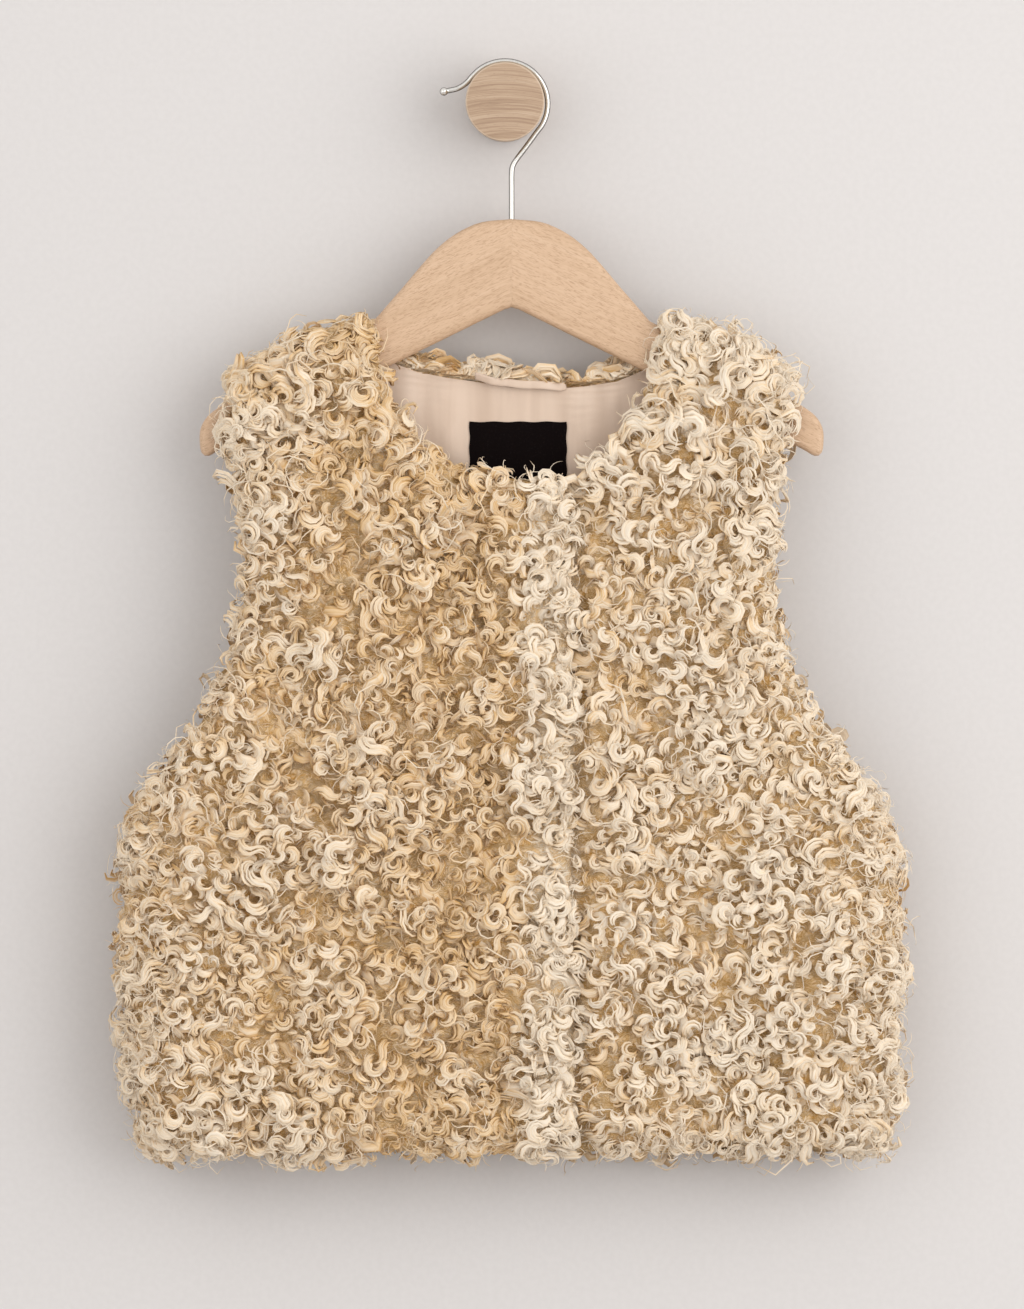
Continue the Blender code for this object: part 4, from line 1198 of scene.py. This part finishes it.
for coat in (
    Coat("right_front", RIGHT_FRONT, "fur_front_right", 21, 1900, CURL, 4, 1450, 720, 0),
    Coat("left_front", LEFT_FRONT, "fur_front_left", 22, 1430, CURL, 4, 1100, 720, 0),
    Coat("back_right", BACK_HALVES[0], "fur_back", 23, 960, BACK_CURL, 2, 250, 260, 75),
    Coat("back_left", BACK_HALVES[1], "fur_back", 24, 960, BACK_CURL, 2, 250, 260, 75),
):
    for kind, count, strand, each in (
        (CURLS, coat.curls, coat.curl, coat.each),
        (LOW_LOCKS, int(coat.curls * UNDER_SHARE), UNDER, 1),
        (STRAYS, coat.strays, STRAY, 1),
        (EDGE_FRIZZ, coat.frizz, FRIZZ, 1),
        (NECK_CURLS, coat.neck_curls, CURL, 5),
    ):
        if count:
            add_fur(coat, kind, count, strand, each)

for shell, flat, area, names in (
    (right_shell, (0.242, 0.455), 0.0806, ("right_front",)),
    (left_shell, (0.201, 0.455), 0.0645, ("left_front",)),
    (back_shell, (0.424, 0.455), 0.1469, ("back_right", "back_left")),
):
    [piece for name in names for piece in PIECES[name]]

# ---- Lining, label and loop in the neck --------------------------------------------------------

LINING_THICKNESS = 0.0009
LINING_FOOT_SHARE = 0.50
LINING_SIDE_SHARE = 0.42
LABEL_X = 0.0035
LABEL_TOP_Z = -0.1738
LABEL_SIZE = (0.053, 0.032)
LABEL_THICKNESS = 0.0006
LOOP_WIDTH = 0.0046
LOOP_DEPTH = 0.0014

Crease = namedtuple("Crease", "x lean starts length depth width")

CREASE_DEPTH_SHARE = 2.2
CREASES = (
    Crease(-0.0620, 0.10, 0.001, 0.030, 0.0012, 0.0016),
    Crease(-0.0535, 0.04, 0.000, 0.048, 0.0013, 0.0021),
    Crease(-0.0470, -0.10, 0.004, 0.026, -0.0006, 0.0018),
    Crease(-0.0372, 0.12, 0.000, 0.060, 0.0014, 0.0026),
    Crease(-0.0305, -0.05, 0.002, 0.034, -0.0007, 0.0022),
    Crease(-0.0130, 0.03, 0.000, 0.019, 0.0006, 0.0019),
    Crease(0.0205, -0.06, 0.001, 0.015, 0.0005, 0.0017),
    Crease(0.0352, 0.05, 0.000, 0.040, 0.0009, 0.0030),
    Crease(0.0448, -0.12, 0.003, 0.062, 0.0013, 0.0024),
    Crease(0.0530, -0.02, 0.000, 0.028, -0.0006, 0.0020),
    Crease(0.0602, -0.22, 0.000, 0.044, 0.0014, 0.0019),
    Crease(0.0705, -0.50, 0.002, 0.026, 0.0013, 0.0016),
)

LoopPoint = namedtuple("LoopPoint", "x z away twist")
LOOP_PATH = (
    LoopPoint(-0.0200, -0.1490, 0.0046, 0.55), LoopPoint(-0.0165, -0.1500, 0.0052, 0.42),
    LoopPoint(-0.0120, -0.1512, 0.0054, 0.25), LoopPoint(-0.0060, -0.1524, 0.0048, 0.08),
    LoopPoint(0.0010, -0.1531, 0.0050, -0.05), LoopPoint(0.0080, -0.1536, 0.0044, 0.08),
    LoopPoint(0.0150, -0.1541, 0.0046, 0.0), LoopPoint(0.0215, -0.1542, 0.0038, -0.12),
    LoopPoint(0.0270, -0.1549, 0.0026, -0.05), LoopPoint(0.0300, -0.1545, 0.0016, 0.0),
)


def crease_relief(x, z, below):
    """How far the lining stands off the back: soft creases from its top seam, and small puckers."""
    relief = np.zeros_like(x)
    for crease in CREASES:
        run = below - crease.starts
        fade = np.clip(run / 0.004 + 0.6, 0, 1) * np.clip(1 - run / crease.length, 0, 1) ** 0.8
        width = crease.width * (1 + np.maximum(run, 0) / crease.length)
        across = x - crease.x - crease.lean * below
        relief += crease.depth * fade * np.exp(-(across / width) ** 2)
    pucker = np.sin(x * 905 + 2.2 * np.sin(x * 160)) * (0.6 + 0.4 * np.sin(x * 75 + 1))
    relief *= CREASE_DEPTH_SHARE
    relief += 0.00080 * pucker * np.exp(-below / 0.0050)
    relief += 0.00030 * np.sin(x * 70 + z * 55) * np.sin(z * 60 + 1.0)
    edge = np.maximum(np.abs(x - HANGER_CENTRE_X - LABEL_X) - LABEL_SIZE[0] / 2,
                      z - LABEL_TOP_Z)
    beside = np.clip(edge / 0.010, 0, 1)
    return np.maximum(relief, -0.0006) * beside - 0.0001 * (1 - beside)


def finished_sheet(name, grids, joined_rows, finish, slot, node):
    """A thin closed sheet between pairs of grids, in place of its solid."""
    bm = bmesh.new()
    for rear, front in grids:
        closed_wall(bm, rear.tolist(), front.tolist(), joined_rows)
    mesh = finished_mesh(name, bm)
    obj = add_piece(name, mesh, finish, slot)
    mesh.set_sharp_from_angle(angle=math.radians(70))
    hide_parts(node)
    return obj


def neck_lining():
    shares = [share for share, _, _ in BACK_HALVES[0].heights]
    first = next(k for k, share in enumerate(shares) if share >= LINING_FOOT_SHARE)
    last = len(shares) - len(SHOULDER_ROLL)
    grids = []
    for half in BACK_HALVES:
        side = round(LINING_SIDE_SHARE * half.inside.shape[1])
        rows, columns = np.meshgrid(
            first + fine_steps(last - first + 1, 3),
            side + fine_steps(half.inside.shape[1] - side, 4), indexing="ij",
        )
        inside = half.read(half.inside, rows, columns)
        below = inside[-1:, :, 2] - inside[..., 2]
        relief = crease_relief(inside[..., 0], inside[..., 2], below)
        ahead = np.array([0.0, -1.0, 0.0])
        front = inside + ahead * (SEAM_GAP + LINING_THICKNESS + relief)[..., None]
        grids.append((inside + ahead * SEAM_GAP, front))
    return finished_sheet("neck_lining", grids, (joined - first) * 3 + 1, satin, "satin_lining",
                          "back_lining")


def lining_y(x, z):
    """Where the lining's face is at x from the hanger's centre."""
    half = BACK_HALVES[0]
    depths = np.array([half.room(a, b) for a, b in zip(np.ravel(x), np.ravel(z))])
    return HANGER_Y + SEAM_GAP / 2 + depths.reshape(np.shape(x)) - SEAM_GAP - LINING_THICKNESS


def neck_label():
    """A woven label, a little uneven along its edges, sewn on at its top and ends."""
    across, down = np.meshgrid(np.linspace(-0.5, 0.5, 33), np.linspace(0, 1, 21))
    x = LABEL_X + across * LABEL_SIZE[0] + 0.00025 * np.sin(down * 17) * np.sign(across)
    z = LABEL_TOP_Z - down * LABEL_SIZE[1] + 0.00022 * np.sin(across * 23 + 1) * (1 - down)
    bulge = 0.0006 * np.cos(across * math.pi) * np.sin(down * 2.4) + 0.00012 * np.sin(across * 31)
    y = lining_y(x, z) - SEAM_GAP * 1.2 - bulge
    rear = np.stack([HANGER_CENTRE_X + x, y, z], -1)
    pillow = np.minimum(1, 8 * np.minimum(0.5 - np.abs(across), np.minimum(down, 1 - down)) + 0.35)
    front = rear + np.array([0.0, -1.0, 0.0]) * (LABEL_THICKNESS * pillow)[..., None]
    return finished_sheet("neck_label_cloth", [(rear, front)], 0, label_finish(), "label_black",
                          "neck_label")


def hanging_loop():
    """A folded strip of the lining's cloth, sewn down at one end and open at the other."""
    knots = np.array([[p.x, p.z, p.away, p.twist] for p in LOOP_PATH])
    share = np.linspace(0, 1, 34)
    x, z, away, twist = (np.interp(share, np.linspace(0, 1, len(knots)), column)
                         for column in knots.T)
    z = z + 0.00022 * np.sin(share * 21)
    section = []
    for k in range(16):
        turn = 2 * math.pi * k / 16
        high, deep = math.cos(turn), math.sin(turn)
        shape = (abs(high) ** 4 + abs(deep) ** 4) ** 0.25
        groove = 1 - 0.30 * math.exp(-((turn - math.pi) / 0.3) ** 2)
        section.append((high / shape * groove * LOOP_WIDTH / 2, deep / shape * LOOP_DEPTH / 2))
    rings = []

    def ring(k, width, depth, shift=0.0):
        middle = np.array([HANGER_CENTRE_X + x[k] + shift,
                           lining_y(x[k:k + 1], z[k:k + 1])[0] - away[k] + LOOP_DEPTH / 2, z[k]])
        cosine, sine = math.cos(twist[k]), math.sin(twist[k])
        rings.append([
            middle + np.array([0.0, -deep * depth * cosine - high * width * sine,
                               high * width * cosine - deep * depth * sine])
            for high, deep in section
        ])

    for shift, size in ((0.0060, 0.50), (0.0010, 0.66), (0.0001, 0.76)):
        ring(0, size * 1.1, size, shift)
    for k in range(len(share)):
        ring(k, 1.0, 1.0 if k < len(share) - 2 else 0.6)
    bm = bmesh.new()
    verts = [[bm.verts.new(point) for point in points] for points in rings]
    for low, high in zip(verts, verts[1:]):
        for k in range(16):
            bm.faces.new((low[k], low[(k + 1) % 16], high[(k + 1) % 16], high[k]))
    bm.faces.new(verts[0])
    bm.faces.new(verts[-1])
    obj = add_piece("folded_loop", finished_mesh("folded_loop", bm), satin, "loop_cloth")
    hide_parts("hanging_loop")
    return obj


lining = neck_lining()
neck_label()
hanging_loop()

# ---- Hanger, hook and peg ----------------------------------------------------------------------


def finished(obj, name, finish, node, sharp_degrees=35):
    """Takes a modelled object over as the piece of its node, with its modifiers applied."""
    bpy.ops.object.select_all(action="DESELECT")
    obj.select_set(True)
    bpy.context.view_layer.objects.active = obj
    for modifier in list(obj.modifiers):
        bpy.ops.object.modifier_apply(modifier=modifier.name)
    bpy.ops.object.transform_apply(location=True, rotation=True, scale=True)
    obj.name = obj.data.name = name
    obj.data.materials.clear()
    obj.data.materials.append(finish)
    obj.data.shade_smooth()
    obj.data.set_sharp_from_angle(angle=math.radians(sharp_degrees))
    obj.select_set(False)
    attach(obj, "root")
    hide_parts(node)
    return obj


def bevelled(obj, width, segments):
    rounding = obj.modifiers.new("Rounded edges", "BEVEL")
    rounding.width, rounding.segments = width, segments
    rounding.limit_method, rounding.angle_limit = "ANGLE", math.radians(60)


def hanger_outline():
    """The hanger's outline from the front, round once from its top."""
    crown, tip = Line(HANGER_TOP), Line(HANGER_TIP)
    half = [crown.at(k / 24) for k in range(25)] + [tip.at(k / 22) for k in range(23)]
    notch = Vector((HANGER_NOTCH.x, HANGER_NOTCH.z))
    under = (half[-1] - notch).normalized()
    half.append(notch + under * 0.070)
    half.append(notch + under * HANGER_NOTCH_ROUNDING)
    half.append(notch + under * HANGER_NOTCH_ROUNDING * 0.5 + Vector((0.0, -0.0005)))
    mirrored = [Vector((-p.x, p.y)) for p in reversed(half[1:])]
    return half + [Vector((0.0, HANGER_NOTCH.z - 0.0008))] + mirrored


def wooden_hanger():
    bm = bmesh.new()
    bm.faces.new([
        bm.verts.new((HANGER_CENTRE_X + corner.x, HANGER_Y, corner.y))
        for corner in hanger_outline()
    ])
    mesh = bpy.data.meshes.new("wooden_hanger")
    bm.to_mesh(mesh)
    bm.free()
    obj = bpy.data.objects.new("wooden_hanger", mesh)
    bpy.context.scene.collection.objects.link(obj)
    thick = obj.modifiers.new("Thickness", "SOLIDIFY")
    thick.thickness, thick.offset = HANGER_THICKNESS, 0.0
    bevelled(obj, HANGER_ROUNDING, 5)
    bpy.ops.mesh.primitive_cylinder_add(
        vertices=32, radius=WIRE_DIAMETER / 2 + SEAM_GAP, depth=2 * SHANK_DEPTH + 0.001,
        location=(HANGER_CENTRE_X, HANGER_Y, HANGER_TOP[0].z),
    )
    drill = bpy.context.object
    hole = obj.modifiers.new("Hook hole", "BOOLEAN")
    hole.operation, hole.object = "DIFFERENCE", drill
    piece = finished(obj, "wooden_hanger", beech_finish(), "hanger")
    bpy.data.objects.remove(drill)
    return piece


def hook_wire():
    """A bent wire with a ball end, seated in the hanger and on the peg's top."""
    top = PEG_DIAMETER / 2 + SEAM_GAP + WIRE_DIAMETER / 2
    start, end = HOOK_ARC_DEGREES
    angles = [math.radians(mix(start, end, k / 14)) for k in range(15)]
    arc = [Point(HOOK_RADIUS * math.cos(a), top + HOOK_RADIUS * (math.sin(a) - 1)) for a in angles]
    route = Line((*HOOK_SHANK, *arc, *HOOK_TAIL))
    points = [Vector((HANGER_CENTRE_X, HANGER_TOP[0].z - SHANK_DEPTH))]
    points += [route.at(k / 110) for k in range(111)]
    radii = [1.0] * len(points)
    ball, wire = WIRE_BALL_DIAMETER / 2, WIRE_DIAMETER / 2
    tail_end, away = points[-1], (points[-1] - points[-2]).normalized()
    start = math.acos(wire / ball)
    for k in range(13):
        angle = mix(-start, math.radians(84), k / 12)
        points.append(tail_end + away * ball * (math.sin(angle) + math.sin(start)))
        radii.append(ball * math.cos(angle) / wire)
    curve = bpy.data.curves.new("hook_wire", "CURVE")
    curve.dimensions = "3D"
    curve.bevel_depth, curve.bevel_resolution, curve.use_fill_caps = wire, 5, True
    spline = curve.splines.new("POLY")
    spline.points.add(len(points) - 1)
    for place_on, point, radius in zip(spline.points, points, radii):
        place_on.co = (point.x, HANGER_Y, point.y, 1.0)
        place_on.radius = radius
    obj = bpy.data.objects.new("hook_wire", curve)
    bpy.context.scene.collection.objects.link(obj)
    bpy.ops.object.select_all(action="DESELECT")
    obj.select_set(True)
    bpy.context.view_layer.objects.active = obj
    bpy.ops.object.convert(target="MESH")
    hook = bpy.context.object
    return finished(hook, "hook_wire", nickel_finish(), "hanger_hook", 50)


def round_peg():
    bpy.ops.mesh.primitive_cone_add(
        vertices=128, radius1=PEG_BACK_DIAMETER / 2, radius2=PEG_FRONT_DIAMETER / 2,
        depth=PEG_LENGTH, location=(0.0, -PEG_LENGTH / 2, 0.0), rotation=(math.pi / 2, 0.0, 0.0),
    )
    peg = bpy.context.object
    bevelled(peg, PEG_ROUNDING, 4)
    return finished(peg, "round_peg", peg_finish(), "wall_peg")


wooden_hanger()
hook_wire()
round_peg()

# ---- Wall, light and camera --------------------------------------------------------------------

IMAGE = (1024, 1309)
PIXEL = 0.000544
GARMENT_Y = -0.052
CAMERA_DISTANCE = 8.0


def flat_stage(name, size, place, turn, finish):
    bpy.ops.mesh.primitive_plane_add(size=size, location=place, rotation=turn)
    obj = bpy.context.object
    obj.name = name
    obj.data.materials.append(finish)
    obj.select_set(False)
    return obj


def soft_light(name, place, aim, size, power, colour):
    lamp = bpy.data.lights.new(name, "AREA")
    lamp.shape, lamp.size, lamp.energy, lamp.color = "DISK", size, power, colour
    obj = bpy.data.objects.new(name, lamp)
    bpy.context.scene.collection.objects.link(obj)
    obj.location = place
    obj.rotation_euler = (Vector(aim) - Vector(place)).to_track_quat("-Z", "Y").to_euler()
    return obj


def photograph_camera():
    data = bpy.data.cameras.new("camera")
    data.sensor_fit = "VERTICAL"
    data.sensor_height = 36.0
    data.lens = data.sensor_height * (CAMERA_DISTANCE + GARMENT_Y) / (IMAGE[1] * PIXEL)
    data.clip_end = 50.0
    obj = bpy.data.objects.new("camera", data)
    bpy.context.scene.collection.objects.link(obj)
    obj.location = (0.0038, -CAMERA_DISTANCE, -0.3008)
    obj.rotation_euler = (math.pi / 2, 0.0, 0.0)
    bpy.context.scene.camera = obj


wall_paint = backdrop_finish()
flat_stage("wall", 6.0, (0.0, 0.0008, -0.3), (math.pi / 2, 0.0, 0.0), wall_paint)
flat_stage("floor", 6.0, (0.0, -2.9, -1.6), (0.0, 0.0, 0.0), wall_paint)
soft_light("key", (1.7, -1.9, 0.10), (0.0, 0.0, -0.3), 2.5, 31.0, (1.0, 0.985, 0.965))
soft_light("fill", (-1.3, -1.9, 0.0), (0.0, 0.0, -0.3), 2.2, 7.0, (1.0, 0.975, 0.955))
world = bpy.data.worlds.new("studio")
bpy.context.scene.world = world
world.use_nodes = True
world.node_tree.nodes["Background"].inputs[0].default_value = (1.0, 0.985, 0.97, 1.0)
world.node_tree.nodes["Background"].inputs[1].default_value = 0.965
bpy.context.scene.view_settings.view_transform = "Standard"
photograph_camera()
